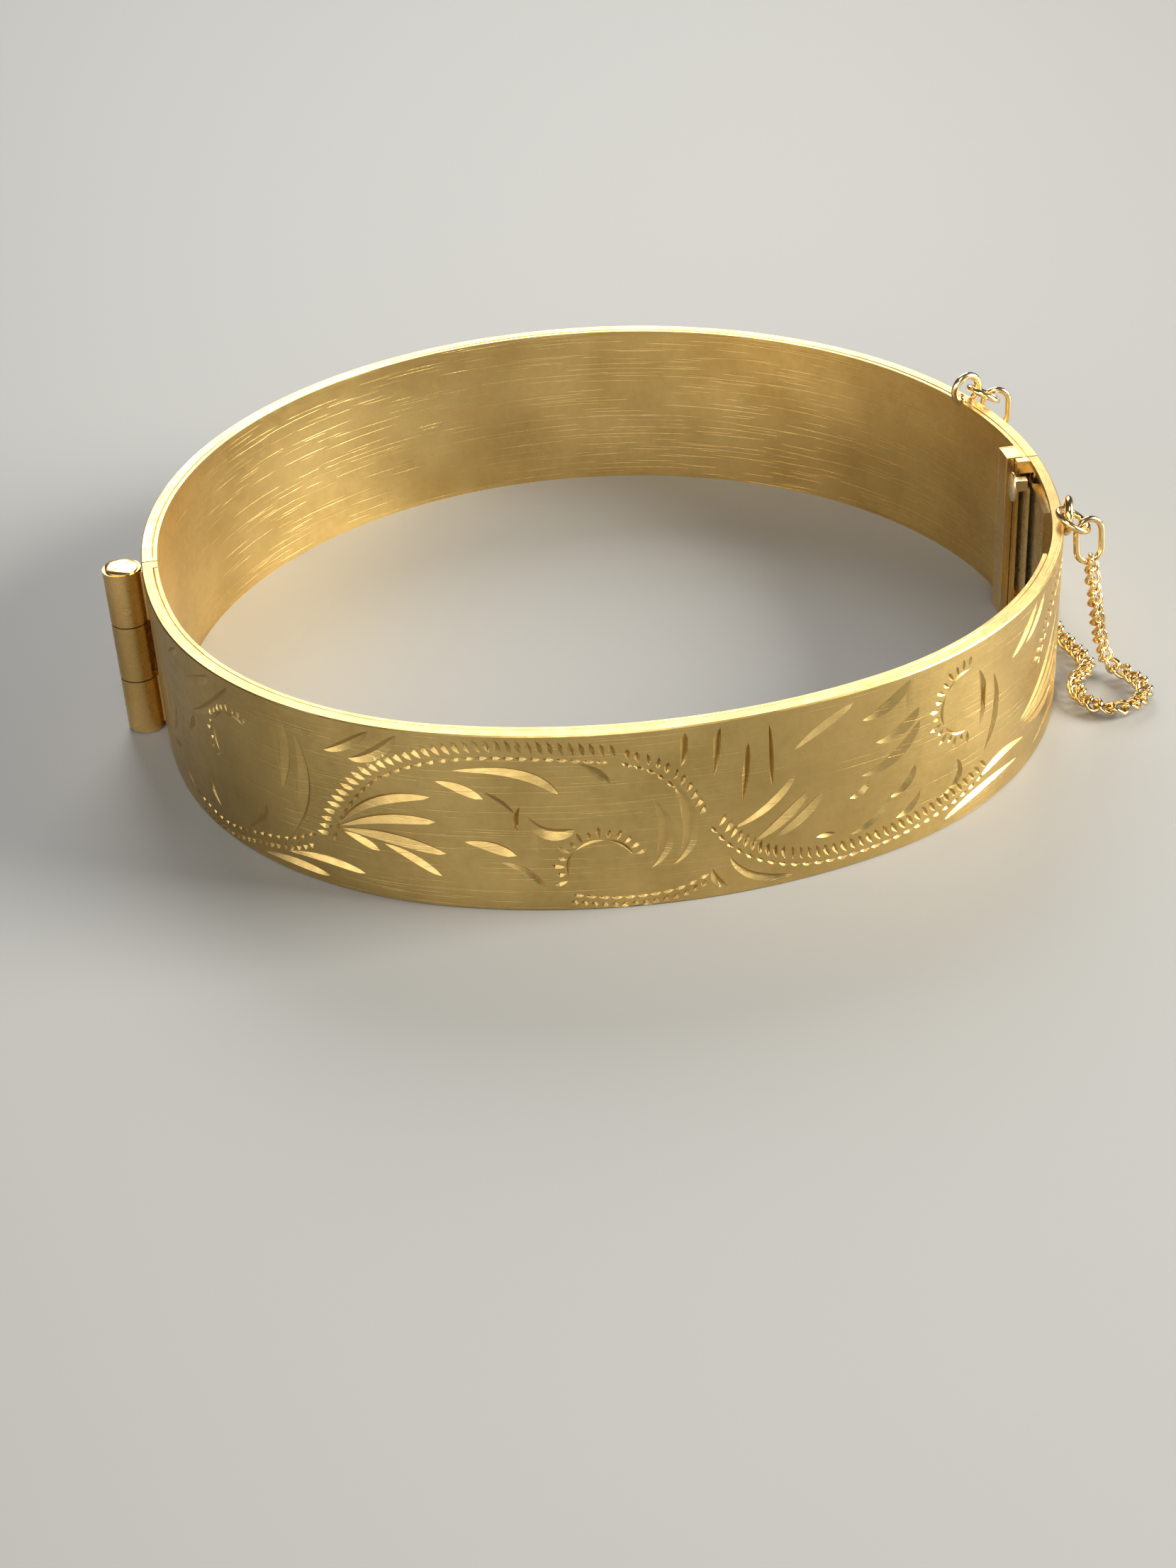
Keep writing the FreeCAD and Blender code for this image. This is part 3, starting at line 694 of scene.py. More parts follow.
    # toward the clasp
    cuts += [
        leaf((75.0, 4.2), (78.6, 5.4), (82.4, 8.8), 0.62),
        leaf((75.2, 4.0), (79.4, 4.6), (83.0, 7.0), 0.62),
        leaf((75.4, 3.8), (79.0, 3.8), (82.6, 5.2), 0.62),
        leaf((75.6, 3.6), (78.2, 2.9), (81.4, 3.4), 0.55),
        leaf((73.3, 9.7), (74.8, 10.4), (76.8, 12.2), 0.6),
        leaf((75.2, 9.9), (76.9, 10.6), (78.2, 12.2), 0.55),
        blade((77.4, 1.0), (80.6, 2.0), (84.2, 1.4), 0.5),
    ]
    hook = [(77.4, 7.2), (79.0, 9.0), (81.6, 10.7), (85.0, 11.4), (88.6, 10.6), (90.8, 8.4), (91.2, 5.6)]
    cuts += rope(hook)
    cuts += curl((86.2, 5.0), 2.2, 20, 220, 0.75)
    cuts += rope([(84.2, 1.3), (87.4, 0.8), (90.4, 1.2), (93.4, 2.8), (95.2, 5.2)], side=1, reach=0.7)
    cuts += [
        leaf((82.6, 9.2), (84.8, 10.4), (87.4, 9.4), 0.55, 0.35),
        blade((88.9, 8.8), (91.0, 5.6), (88.6, 2.6), 0.7),
        leaf((92.4, 5.4), (93.6, 7.2), (94.0, 9.6), 0.5),
        leaf((93.4, 4.8), (95.2, 6.6), (96.2, 9.2), 0.5),
        leaf((91.6, 11.0), (93.4, 10.9), (95.4, 12.0), 0.5),
        leaf((93.6, 0.9), (95.4, 1.5), (96.9, 3.2), 0.45),
    ]
    return cuts


class EngravedFace:
    """The outer face of the front half, with every stroke really cut into it."""

    LAND = 0.06
    NEAR = 1e-4
    CLEAR = 0.6
    LEAST_CUT = 0.004
    LEAST_FACET = 0.006

    def __init__(self, outline: Outline, zero: float, cuts: Sequence[Cut]) -> None:
        """Keep what is engraved.

        Args:
            outline: the band's outline.
            zero: station from which the cuts' distances are measured.
            cuts: the strokes.
        """
        self.outline = outline
        self.zero = zero
        self.cuts = cuts

    def add_to(self, maker: MeshMaker, stations: Stations, low: float, high: float, bright: int) -> None:
        """Add the engraved face between the first and last station and two heights.

        Args:
            maker: the piece that gets the faces.
            stations: upright lines of the face, which its neighbours share.
            low: lower edge.
            high: upper edge.
            bright: material slot of the cut facets, whose paler gold paints their highlight.
        """
        spots: list[Vector] = []
        edges: list[tuple[int, int]] = []
        for station in stations:
            first = len(spots)
            spots += [Vector((station - self.zero, low)), Vector((station - self.zero, high))]
            edges.append((first, first + 1))
            if first:
                edges += [(first - 2, first), (first - 1, first + 1)]
        start = stations[0] - self.zero + self.CLEAR
        end = stations[-1] - self.zero - self.CLEAR
        floor, ceiling = low + self.LAND, high - self.LAND
        used = [c for c in self.cuts if start < min(c.start[0], c.end[0]) and max(c.start[0], c.end[0]) < end]
        for cut in used:
            spine, edge = cut.outline(floor, ceiling)
            first = len(spots)
            spots += [Vector(p) for p in edge]
            count = len(edge)
            edges += [(first + i, first + (i + 1) % count) for i in range(count)]
            middle = len(spots)
            spots += [Vector(p) for p in spine[1:-1]]
            inner = [first, *range(middle, middle + len(spine) - 2), first + len(spine) - 1]
            edges += list(zip(inner, inner[1:]))
        made, _, faces, *_ = delaunay_2d_cdt(spots, edges, [], 0, self.NEAR)
        flat = np.array([tuple(p) for p in made], float)
        depth = self._depths(flat, used, floor, ceiling)
        self._build(maker, flat, depth, faces, bright)

    def _depths(self, flat: np.ndarray, cuts: Sequence[Cut], low: float, high: float) -> np.ndarray:
        """The deepest cut at every corner of the unrolled face.

        Args:
            flat: the corners, one in each row.
            cuts: the strokes.
            low: least height of a cut.
            high: greatest height of a cut.

        Returns:
            The depth at each corner.
        """
        depth = np.zeros(len(flat))
        for cut in cuts:
            reach = cut.width
            corners = np.array([cut.start, cut.bend, cut.end])
            least, most = corners.min(0) - reach, corners.max(0) + reach
            near = np.where(np.all((flat > least) & (flat < most), axis=1))[0]
            if len(near):
                depth[near] = np.maximum(depth[near], cut.depth_at(flat[near], low, high))
        depth[depth < self.LEAST_CUT] = 0.0
        return depth

    def _build(
        self, maker: MeshMaker, flat: np.ndarray, depth: np.ndarray, faces: Iterable[list[int]], bright: int
    ) -> None:
        """Put the triangles on the band.

        Args:
            maker: the piece that gets them.
            flat: corners of the unrolled face.
            depth: depth of each corner.
            faces: the corners of each triangle.
            bright: material slot of the cut facets, whose paler gold paints their highlight.
        """
        places = [self.outline.point(u + self.zero, d, z) for (u, z), d in zip(flat, depth)]
        corners = [maker.bm.verts.new(p) for p in places]
        for triangle in faces:
            made = maker.bm.faces.new([corners[i] for i in triangle])
            # faces inside a cut take the paler gold slot: painted highlight on the cut facets
            made.material_index = bright if max(depth[i] for i in triangle) > self.LEAST_FACET else 0
            for loop, i in zip(made.loops, triangle):
                loop[maker.uv].uv = (flat[i][0] + self.zero, flat[i][1])


# ------------------------------------------------------------------ finishes

Colour = tuple[float, float, float]


class GroupMaker:
    """Builds one shader node group with named inputs and outputs."""

    def __init__(self, name: str, inputs: dict[str, str], outputs: dict[str, str]) -> None:
        """Make the group.

        Args:
            name: name of the group.
            inputs: kind of socket for each input's name.
            outputs: kind of socket for each output's name.
        """
        self.tree = bpy.data.node_groups.new(name, "ShaderNodeTree")
        for label, kind in inputs.items():
            self.tree.interface.new_socket(name=label, in_out="INPUT", socket_type=kind)
        for label, kind in outputs.items():
            self.tree.interface.new_socket(name=label, in_out="OUTPUT", socket_type=kind)
        self.source = self.tree.nodes.new("NodeGroupInput")
        self.result = self.tree.nodes.new("NodeGroupOutput")

    def node(self, kind: str, values: dict[str, object] | None = None, **settings: object) -> bpy.types.Node:
        """Add a node.

        Args:
            kind: its type.
            values: values of its inputs.
            **settings: its own settings.

        Returns:
            The node.
        """
        made = self.tree.nodes.new(kind)
        for key, value in settings.items():
            setattr(made, key, value)
        for key, value in (values or {}).items():
            made.inputs[key].default_value = value
        return made

    def link(self, source: bpy.types.NodeSocket, target: bpy.types.NodeSocket) -> None:
        """Join two sockets."""
        self.tree.links.new(source, target)

    def scaled(self, factor: Place, turn: float = 0.0) -> bpy.types.NodeSocket:
        """The group's Place input, stretched and turned.

        Args:
            factor: how much along each axis.
            turn: angle about Z, in degrees.

        Returns:
            The new place.
        """
        mapping = self.node("ShaderNodeMapping")
        mapping.inputs["Scale"].default_value = factor
        mapping.inputs["Rotation"].default_value = (0, 0, math.radians(turn))
        self.link(self.source.outputs["Place"], mapping.inputs["Vector"])
        return mapping.outputs["Vector"]

    def noise(self, place: bpy.types.NodeSocket, scale: float, detail: float = 2.0) -> bpy.types.NodeSocket:
        """A noise between about 0 and 1.

        Args:
            place: where it is read.
            scale: how fine it is.
            detail: how many finer layers it has.

        Returns:
            Its value.
        """
        texture = self.node("ShaderNodeTexNoise")
        texture.inputs["Scale"].default_value = scale
        texture.inputs["Detail"].default_value = detail
        self.link(place, texture.inputs["Vector"])
        return texture.outputs["Fac"]

    def maths(self, operation: str, one: object, two: object) -> bpy.types.NodeSocket:
        """Work out a value.

        Args:
            operation: what is done.
            one: first socket or number.
            two: second socket or number.

        Returns:
            The value.
        """
        made = self.node("ShaderNodeMath", operation=operation)
        for value, socket in ((one, made.inputs[0]), (two, made.inputs[1])):
            if isinstance(value, (int, float)):
                socket.default_value = value
            else:
                self.link(value, socket)
        return made.outputs[0]

    def band(self, value: bpy.types.NodeSocket, low: float, high: float) -> bpy.types.NodeSocket:
        """Stretch a value.

        Args:
            value: the value.
            low: what becomes 0.
            high: what becomes 1.

        Returns:
            The stretched value.
        """
        made = self.node("ShaderNodeMapRange", {"From Min": low, "From Max": high})
        self.link(value, made.inputs["Value"])
        return made.outputs["Result"]


def tarnish_group() -> bpy.types.NodeTree:
    """Cloudy change of colour and gloss from handling, at two sizes.

    Returns:
        The node group.
    """
    maker = GroupMaker(
        "handled_gold",
        {"Place": "NodeSocketVector", "Fresh": "NodeSocketColor", "Toned": "NodeSocketColor",
         "Gloss": "NodeSocketFloat", "Haze": "NodeSocketFloat"},
        {"Colour": "NodeSocketColor", "Roughness": "NodeSocketFloat"},
    )
    clouds = maker.noise(maker.scaled((1, 1, 1)), 0.16, 3.0)
    specks = maker.noise(maker.scaled((1, 1, 1)), 1.3, 4.0)
    blend = maker.maths("ADD", maker.maths("MULTIPLY", maker.band(clouds, 0.35, 0.7), 0.65),
                        maker.maths("MULTIPLY", maker.band(specks, 0.35, 0.75), 0.35))
    mix = maker.node("ShaderNodeMix", data_type="RGBA")
    maker.link(blend, mix.inputs["Factor"])
    maker.link(maker.source.outputs["Fresh"], mix.inputs["A"])
    maker.link(maker.source.outputs["Toned"], mix.inputs["B"])
    maker.link(mix.outputs["Result"], maker.result.inputs["Colour"])
    haze = maker.maths("MULTIPLY", maker.source.outputs["Haze"], maker.band(specks, 0.3, 0.8))
    maker.link(maker.maths("ADD", maker.source.outputs["Gloss"], haze), maker.result.inputs["Roughness"])
    return maker.tree


def grain_group() -> bpy.types.NodeTree:
    """Fine satin grain that runs along the piece, with a soft unevenness of the sheet.

    Returns:
        The node group.
    """
    maker = GroupMaker(
        "satin_grain",
        {"Place": "NodeSocketVector", "Sheet": "NodeSocketFloat", "Base": "NodeSocketFloat"},
        {"Height": "NodeSocketFloat"},
    )
    lines = maker.noise(maker.scaled((0.35, 1, 1)), 9.0, 3.0)
    pits = maker.noise(maker.scaled((1, 1, 1)), 4.5, 3.0)
    sheet = maker.noise(maker.scaled((1, 0.6, 1)), 0.33, 1.0)
    fine = maker.maths("ADD", maker.maths("MULTIPLY", lines, 0.5), maker.maths("MULTIPLY", pits, 0.5))
    wide = maker.maths("MULTIPLY", sheet, maker.source.outputs["Sheet"])
    total = maker.maths("ADD", maker.maths("ADD", fine, wide), maker.source.outputs["Base"])
    maker.link(total, maker.result.inputs["Height"])
    return maker.tree


def scratch_group() -> bpy.types.NodeTree:
    """Hairline scratches from wear, in three directions.

    Returns:
        The node group.
    """
    maker = GroupMaker(
        "hairlines",
        {"Place": "NodeSocketVector", "Amount": "NodeSocketFloat"},
        {"Mask": "NodeSocketFloat"},
    )
    found = []
    for turn, scale in ((24, 1.0), (-37, 1.35), (78, 0.8)):
        lines = maker.noise(maker.scaled((0.07 * scale, 3.2 * scale, 0.6), turn), 1.6, 0.0)
        found.append(maker.band(lines, 0.715, 0.745))
    mask = maker.maths("MAXIMUM", maker.maths("MAXIMUM", found[0], found[1]), found[2])
    maker.link(maker.maths("MULTIPLY", mask, maker.source.outputs["Amount"]), maker.result.inputs["Mask"])
    return maker.tree


class Groups:
    """The shared node groups, each built once."""

    def __init__(self) -> None:
        """Build them."""
        self.tarnish = tarnish_group()
        self.grain = grain_group()
        self.scratches = scratch_group()


class PlaceKind(Enum):
    """What a finish's pattern follows."""

    BAND = "band"
    SPACE = "space"


@dataclass(frozen=True)
class GoldFinish:
    """One gold finish of the bangle: two tones, gloss with its haze, and how strong each effect is."""

    name: str
    fresh: Colour
    toned: Colour
    gloss: float
    haze: float
    grain: float
    sheet: float
    scratches: float
    follows: PlaceKind = PlaceKind.SPACE

    GRAIN_STEP = 0.00001

    def build(self, groups: Groups) -> bpy.types.Material:
        """Make the material from the shared groups.

        Args:
            groups: the node groups.

        Returns:
            The material.
        """
        material = bpy.data.materials.new(self.name)
        material.use_nodes = True
        tree = material.node_tree
        shader = tree.nodes["Principled BSDF"]
        shader.inputs["Metallic"].default_value = 1.0
        place = self._place(tree)

        def add(group: bpy.types.NodeTree, values: dict[str, object]) -> bpy.types.Node:
            """Use a group on this finish's place.

            Args:
                group: the group.
                values: values of its inputs.

            Returns:
                Its node.
            """
            node = tree.nodes.new("ShaderNodeGroup")
            node.node_tree = group
            for key, value in values.items():
                node.inputs[key].default_value = value
            tree.links.new(place, node.inputs["Place"])
            return node

        tones = {"Fresh": (*self.fresh, 1), "Toned": (*self.toned, 1)}
        wear = add(groups.tarnish, {**tones, "Gloss": self.gloss, "Haze": self.haze})
        lines = add(groups.scratches, {"Amount": self.scratches})
        grain = add(groups.grain, {"Sheet": self.sheet})
        tree.links.new(wear.outputs["Colour"], shader.inputs["Base Color"])
        tree.links.new(wear.outputs["Roughness"], shader.inputs["Roughness"])
        height = tree.nodes.new("ShaderNodeMath")
        height.operation = "SUBTRACT"
        tree.links.new(grain.outputs["Height"], height.inputs[0])
        tree.links.new(lines.outputs["Mask"], height.inputs[1])
        bump = tree.nodes.new("ShaderNodeBump")
        bump.inputs["Strength"].default_value = self.grain
        bump.inputs["Distance"].default_value = self.GRAIN_STEP
        tree.links.new(height.outputs[0], bump.inputs["Height"])
        tree.links.new(bump.outputs["Normal"], shader.inputs["Normal"])
        return material

    def _place(self, tree: bpy.types.NodeTree) -> bpy.types.NodeSocket:
        """Coordinates for the patterns.

        Args:
            tree: the material's nodes.

        Returns:
            Millimetres along the band or in space.
        """
        if self.follows is PlaceKind.BAND:
            uv = tree.nodes.new("ShaderNodeUVMap")
            uv.uv_map = UV_NAME
            return uv.outputs["UV"]
        coordinates = tree.nodes.new("ShaderNodeTexCoord")
        mapping = tree.nodes.new("ShaderNodeMapping")
        mapping.inputs["Scale"].default_value = (1 / MM, 1 / MM, 1 / MM)
        tree.links.new(coordinates.outputs["Object"], mapping.inputs["Vector"])
        return mapping.outputs["Vector"]


class Finish(Enum):
    """The finishes of this bangle."""

    # painted shade: the engraved face's gold is darker than the same metal on the other sheets, standing in
    # for the dark reflection on the front face
    ENGRAVED = GoldFinish(
        "engraved_satin_painted_shade", (0.64, 0.45, 0.165), (0.42, 0.285, 0.095), 0.30, 0.13, 1.0, 1.2, 0.5, PlaceKind.BAND
    )
    # painted highlight: the cut facets take a paler, brighter gold than the ground so that they read as
    # glints
    PAINTED_CUT_HIGHLIGHT = GoldFinish(
        "bright_cut_painted_highlight", (1.00, 0.84, 0.50), (0.98, 0.76, 0.42), 0.16, 0.05, 0.12, 0.0, 0.0, PlaceKind.BAND
    )
    # polished rims: the lower roughness is real polish; the paler gold is painted highlight
    RIM = GoldFinish(
        "polished_rim_painted_highlight", (0.97, 0.78, 0.44), (0.86, 0.63, 0.29), 0.22, 0.12, 0.25, 0.4, 0.5, PlaceKind.BAND
    )
    INSIDE = GoldFinish(
        "satin_inside", (0.82, 0.59, 0.23), (0.58, 0.39, 0.13), 0.28, 0.14, 0.8, 1.6, 0.7, PlaceKind.BAND
    )
    CLASP = GoldFinish("clasp_gold", (0.95, 0.72, 0.34), (0.70, 0.46, 0.16), 0.18, 0.14, 0.3, 0.6, 0.5)
    TUBE = GoldFinish("hinge_tube", (0.82, 0.56, 0.21), (0.56, 0.34, 0.11), 0.22, 0.14, 0.45, 0.6, 0.6)
    WIRE = GoldFinish("gold_wire", (0.98, 0.78, 0.42), (0.50, 0.31, 0.11), 0.14, 0.12, 0.25, 0.4, 0.3)
    # painted highlight: the tongue and the thumb tab take the palest, cream gold so that they read as lit
    SPRING_PAINTED_HIGHLIGHT = GoldFinish("spring_gold", (1.00, 0.88, 0.60), (0.97, 0.80, 0.48), 0.24, 0.08, 0.15, 0.2, 0.2)


class Workshop:
    """What every sub-assembly needs: the outline, the sweeper and the finishes."""

    def __init__(self) -> None:
        """Read the oval's place from the frame and build the finishes."""
        self.sizes = BandSizes()
        front_low, front_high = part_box("front_outer_shell")
        rear_low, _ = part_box("rear_outer_shell")
        self.middle_x = (rear_low.x + front_high.x) / 2 / MM
        self.middle_y = front_low.y / MM + self.sizes.front_depth
        self.outline = Outline(self.sizes, self.middle_x, self.middle_y)
        self.builder = BandBuilder(self.outline)
        groups = Groups()
        self.materials = {finish: finish.value.build(groups) for finish in Finish}

    def dress(self, piece: bpy.types.Object, *finishes: Finish) -> bpy.types.Object:
        """Give a piece its finishes.

        Args:
            piece: the piece.
            *finishes: one for each material slot.

        Returns:
            The same piece.
        """
        piece.data.materials.clear()
        for finish in finishes:
            piece.data.materials.append(self.materials[finish])
        return piece

    def dress_nodes(self, finish: Finish, *nodes: str) -> None:
        """Give carried-over nodes a finish; their meshes stay as they are.

        Args:
            finish: the finish.
            *nodes: names of the nodes.
        """
        for node in nodes:
            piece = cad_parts[node]
            piece.data.materials.clear()
            piece.data.materials.append(self.materials[finish])
            log.info("node %s: %s", node, finish.value.name)

    def place(self, piece: bpy.types.Object, body: str, slot: str, *nodes: str) -> bpy.types.Object:
        """Let a piece ride on a body and stand for nodes.

        Args:
            piece: the piece.
            body: the body.
            slot: not used.
            *nodes: the nodes that it stands for.

        Returns:
            The same piece.
        """
        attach(piece, body)
        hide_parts(*nodes)
        log.info("piece %s rides on %s", piece.name, body)
        return piece


# ------------------------------------------------------------------ the two halves


@dataclass
class Half:
    """What the front and the rear half of the band share."""

    shop: Workshop
    # slot 1 holds the rim gold, slot 2 the paler gold that paints the highlight on the cut facets
    RIM_SLOT, BRIGHT = 1, 2
    SEAM_HALF, SEAM_DEPTH, LINING_DROP = 0.05, 0.09, 0.03

    @property
    def sizes(self) -> BandSizes:
        """The band's sizes."""
        return self.shop.sizes

    def channel(self, rim_width: float) -> Section:
        """Section of the outer sheet with its two rims.

        Args:
            rim_width: how far the rims reach in.

        Returns:
            The section; its first side is the outer face.
        """
        s = self.sizes
        top = s.height
        return [
            (0, s.bevel), (0, top - s.bevel), (s.bevel, top), *self.rim_seam(rim_width),
            (rim_width, top - s.rim), (s.skin, top - s.rim), (s.skin, s.rim),
            (rim_width, s.rim), (rim_width, 0), (s.bevel, 0),
        ]

    def rim_seam(self, rim_width: float) -> Section:
        """The top rim's inner side, with a fine seam where the lining's edge lies beside the sheet.

        Args:
            rim_width: how far the rim reaches in.

        Returns:
            Its corners from the outer face inwards.
        """
        top, seam = self.sizes.height, self.sizes.seam
        if rim_width <= seam:
            return [(rim_width, top)]
        lining = top - self.LINING_DROP
        return [
            (seam - self.SEAM_HALF, top), (seam, top - self.SEAM_DEPTH),
            (seam + self.SEAM_HALF, lining), (rim_width, lining),
        ]

    def polish_and_highlight_rims(self, piece: bpy.types.Object) -> None:
        """Give the flat rims and their bevels the polished slot, whose paler gold paints a highlight on them.

        Args:
            piece: the shell.
        """
        low = self.sizes.bevel * MM * 0.99
        high = (self.sizes.height - self.sizes.bevel) * MM * 1.001
        for face in piece.data.polygons:
            if face.center.z > high - 1e-6 or face.center.z < low:
                # top and bottom faces take the paler rim gold: painted highlight on the rims
                face.material_index = self.RIM_SLOT

    def edge_block(self, low: float, high: float, rim_low: bool) -> Section:
        """Section of the sheet that is left between a notch and one rim.

        Args:
            low: lower edge of an upper block.
            high: upper edge of a lower block.
            rim_low: whether it is the block with the lower rim.

        Returns:
            The section.
        """
        s = self.sizes
        if rim_low:
            return [
                (0, s.bevel), (0, high), (s.skin, high), (s.skin, s.rim),
                (s.thickness, s.rim), (s.thickness, 0), (s.bevel, 0),
            ]
        top = s.height
        return [
            (0, low), (0, top - s.bevel), (s.bevel, top), (s.thickness, top),
            (s.thickness, top - s.rim), (s.skin, top - s.rim), (s.skin, low),
        ]

    def notched_end(self, maker: MeshMaker, stations: Stations, low: float, high: float) -> None:
        """The end of the sheet beside the hinge, cut away between two heights."""
        self.shop.builder.sweep(maker, stations, self.edge_block(0, low, True))
        self.shop.builder.sweep(maker, stations, self.edge_block(high, self.sizes.height, False))

    def liner(self, name: str, start: float, end: float) -> bpy.types.Object:
        """The plain satin sheet inside the band.

        Args:
            name: name of the piece.
            start: station where it starts.
            end: station where it ends.

        Returns:
            The piece.
        """
        s = self.sizes
        maker = MeshMaker(name)
        section = box_section(s.thickness - s.liner, s.thickness, s.rim, s.height - s.rim)
        self.shop.builder.sweep(maker, spread(start, end, BandBuilder.STEP), section)
        return self.shop.dress(maker.finish(), Finish.INSIDE)


@dataclass
class FrontHalf(Half):
    """The engraved half with its liner."""

    def build(self) -> None:
        """Make the engraved shell and the liner."""
        s, outline = self.sizes, self.shop.outline
        start = outline.hinge + s.half_gap / 2
        end = outline.length + outline.clasp - s.half_gap / 2
        pocket = end - s.pocket
        maker = MeshMaker("engraved_front_shell")
        third = s.height / 3
        edge = s.rim + s.bevel
        self.notched_end(maker, [start, start + s.neck], edge, s.height - edge)
        self.notched_end(maker, [start + s.neck, start + 2 * s.neck], third, 2 * third)
        full = spread(start + 2 * s.neck, pocket, BandBuilder.STEP)
        thin = spread(pocket, end, BandBuilder.STEP)
        builder = self.shop.builder
        builder.sweep(maker, full, self.channel(s.thickness), skip=0, capped=(True, False))
        builder.sweep(maker, thin, self.channel(s.pocket_rim), skip=0, capped=(False, True))
        for low in (0, s.height - s.rim):
            high = low + s.rim
            step = [(s.thickness, low), (s.pocket_rim, low), (s.pocket_rim, high), (s.thickness, high)]
            maker.face(builder.ring(pocket, step), [(pocket + d, h) for d, h in step])
        face = EngravedFace(outline, outline.hinge, engraving())
        face.add_to(maker, full + thin[1:], s.bevel, s.height - s.bevel, self.BRIGHT)
        shell = maker.finish(sharp=17, turn_out=True)
        self.polish_and_highlight_rims(shell)
        # the ground takes the darker engraved gold, painted shade; the rims and the cut facets take paler
        # golds, painted highlights
        self.shop.dress(shell, Finish.ENGRAVED, Finish.RIM, Finish.PAINTED_CUT_HIGHLIGHT)
        self.shop.place(shell, "front_half", "engraved_gold", "front_outer_shell")
        liner = self.liner("front_liner_sheet", start, pocket)
        self.shop.place(liner, "front_half", "satin_gold", "front_inner_liner")
        self.shop.dress_nodes(Finish.CLASP, "front_hinge_end_plate", "pocket_end_plate")


@dataclass
class RearHalf(Half):
    """The plain half with its liner."""

    box_length: float = 2.0

    def build(self) -> None:
        """Make the plain shell and the liner."""
        s, outline = self.sizes, self.shop.outline
        start = outline.clasp + s.half_gap / 2
        end = outline.hinge - s.half_gap / 2
        third = s.height / 3
        maker = MeshMaker("plain_rear_shell")
        stations = spread(start, end - s.neck, BandBuilder.STEP)
        self.shop.builder.sweep(maker, stations, self.channel(s.thickness))
        self.notched_end(maker, [end - s.neck, end], third, 2 * third)
        shell = maker.finish()
        self.polish_and_highlight_rims(shell)
        self.shop.dress(shell, Finish.INSIDE, Finish.RIM)
        self.shop.place(shell, "rear_half", "satin_gold", "rear_outer_shell")
        liner = self.liner("rear_liner_sheet", start + self.box_length, end)
        self.shop.place(liner, "rear_half", "satin_gold", "rear_inner_liner")
        self.shop.dress_nodes(Finish.CLASP, "rear_hinge_end_plate")


# ------------------------------------------------------------------ hinge and clasp


@dataclass
class Hinge:
    """The barrel, its leaves and the peened pin."""

    shop: Workshop
    head_rim: float = 1.16
    head: float = 0.22
    shank: float = 0.55
    segments: int = 72

    def build(self) -> None:
        """Dress the barrel and make the pin with its hammered heads."""
        knuckles = ("hinge_knuckle_top", "hinge_knuckle_middle", "hinge_knuckle_bottom")
        leaves = ("front_hinge_leaf_top", "front_hinge_leaf_bottom", "rear_hinge_leaf")
        self.shop.dress_nodes(Finish.TUBE, *knuckles, *leaves)
        low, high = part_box("hinge_pin")
        pin = self._pin((low + high) / 2, low.z, high.z)
        self.shop.dress(pin, Finish.CLASP)
        self.shop.place(pin, "front_half", "hinge_gold", "hinge_pin")

    def _pin(self, middle: Vector, bottom: float, top: float) -> bpy.types.Object:
        """The pin: a shank with an uneven, hammered head at each end.

        Args:
            middle: middle of the pin, in metres.
            bottom: height of its foot, in metres.
            top: height of its cap, in metres.

        Returns:
            The piece.
        """
        maker = MeshMaker("peened_hinge_pin")
        profile = [
            (0.0, bottom), (0.75, bottom), (1.05, bottom),
            (self.head_rim, bottom + 0.1 * MM), (self.head_rim, bottom + self.head * MM),
            (self.shank, bottom + self.head * MM), (self.shank, top - self.head * MM),
            (self.head_rim, top - self.head * MM), (self.head_rim, top - 0.12 * MM), (1.02, top - 0.02 * MM),
            (0.75, top - 0.01 * MM), (0.45, top - 0.03 * MM), (0.0, top - 0.035 * MM),
        ]
        rng = np.random.default_rng(7)
        phases = rng.uniform(0, 2 * math.pi, 4)

        def corner(step: int, radius: float, height: float) -> Vector:
            """A corner of the turned profile, moved a little where the metal is hammered.

            Args:
                step: which of the segments it is on.
                radius: its radius in the profile, in millimetres.
                height: its height, in metres.

            Returns:
                The corner in metres.
            """
            angle = 2 * math.pi * (step % self.segments) / self.segments
            wave = sum(math.sin((k + 2) * angle + phases[k]) / (k + 2) for k in range(4))
            uneven = 1 + 0.07 * wave if radius > 1.0 else 1.0
            hammered = radius > 0.4 and height > top - 0.1 * MM
            dent = -0.03 * MM * (1 + math.sin(3 * angle + phases[0])) if hammered else 0.0
            reach = radius * uneven * MM
            across, along = reach * math.cos(angle), reach * math.sin(angle)
            return Vector((middle.x + across, middle.y + along, height + dent))

        for step in range(self.segments):
            for (r0, z0), (r1, z1) in zip(profile, profile[1:]):
                places = (step, r0, z0), (step + 1, r0, z0), (step + 1, r1, z1), (step, r1, z1)
                quad = [corner(*place) for place in places]
                corners = [p for i, p in enumerate(quad) if all((p - q).length > 1e-9 for q in quad[:i])]
                if len(corners) > 2:
                    maker.face(corners, [(step, z0 / MM)] * len(corners))
        return maker.finish(sharp=40)


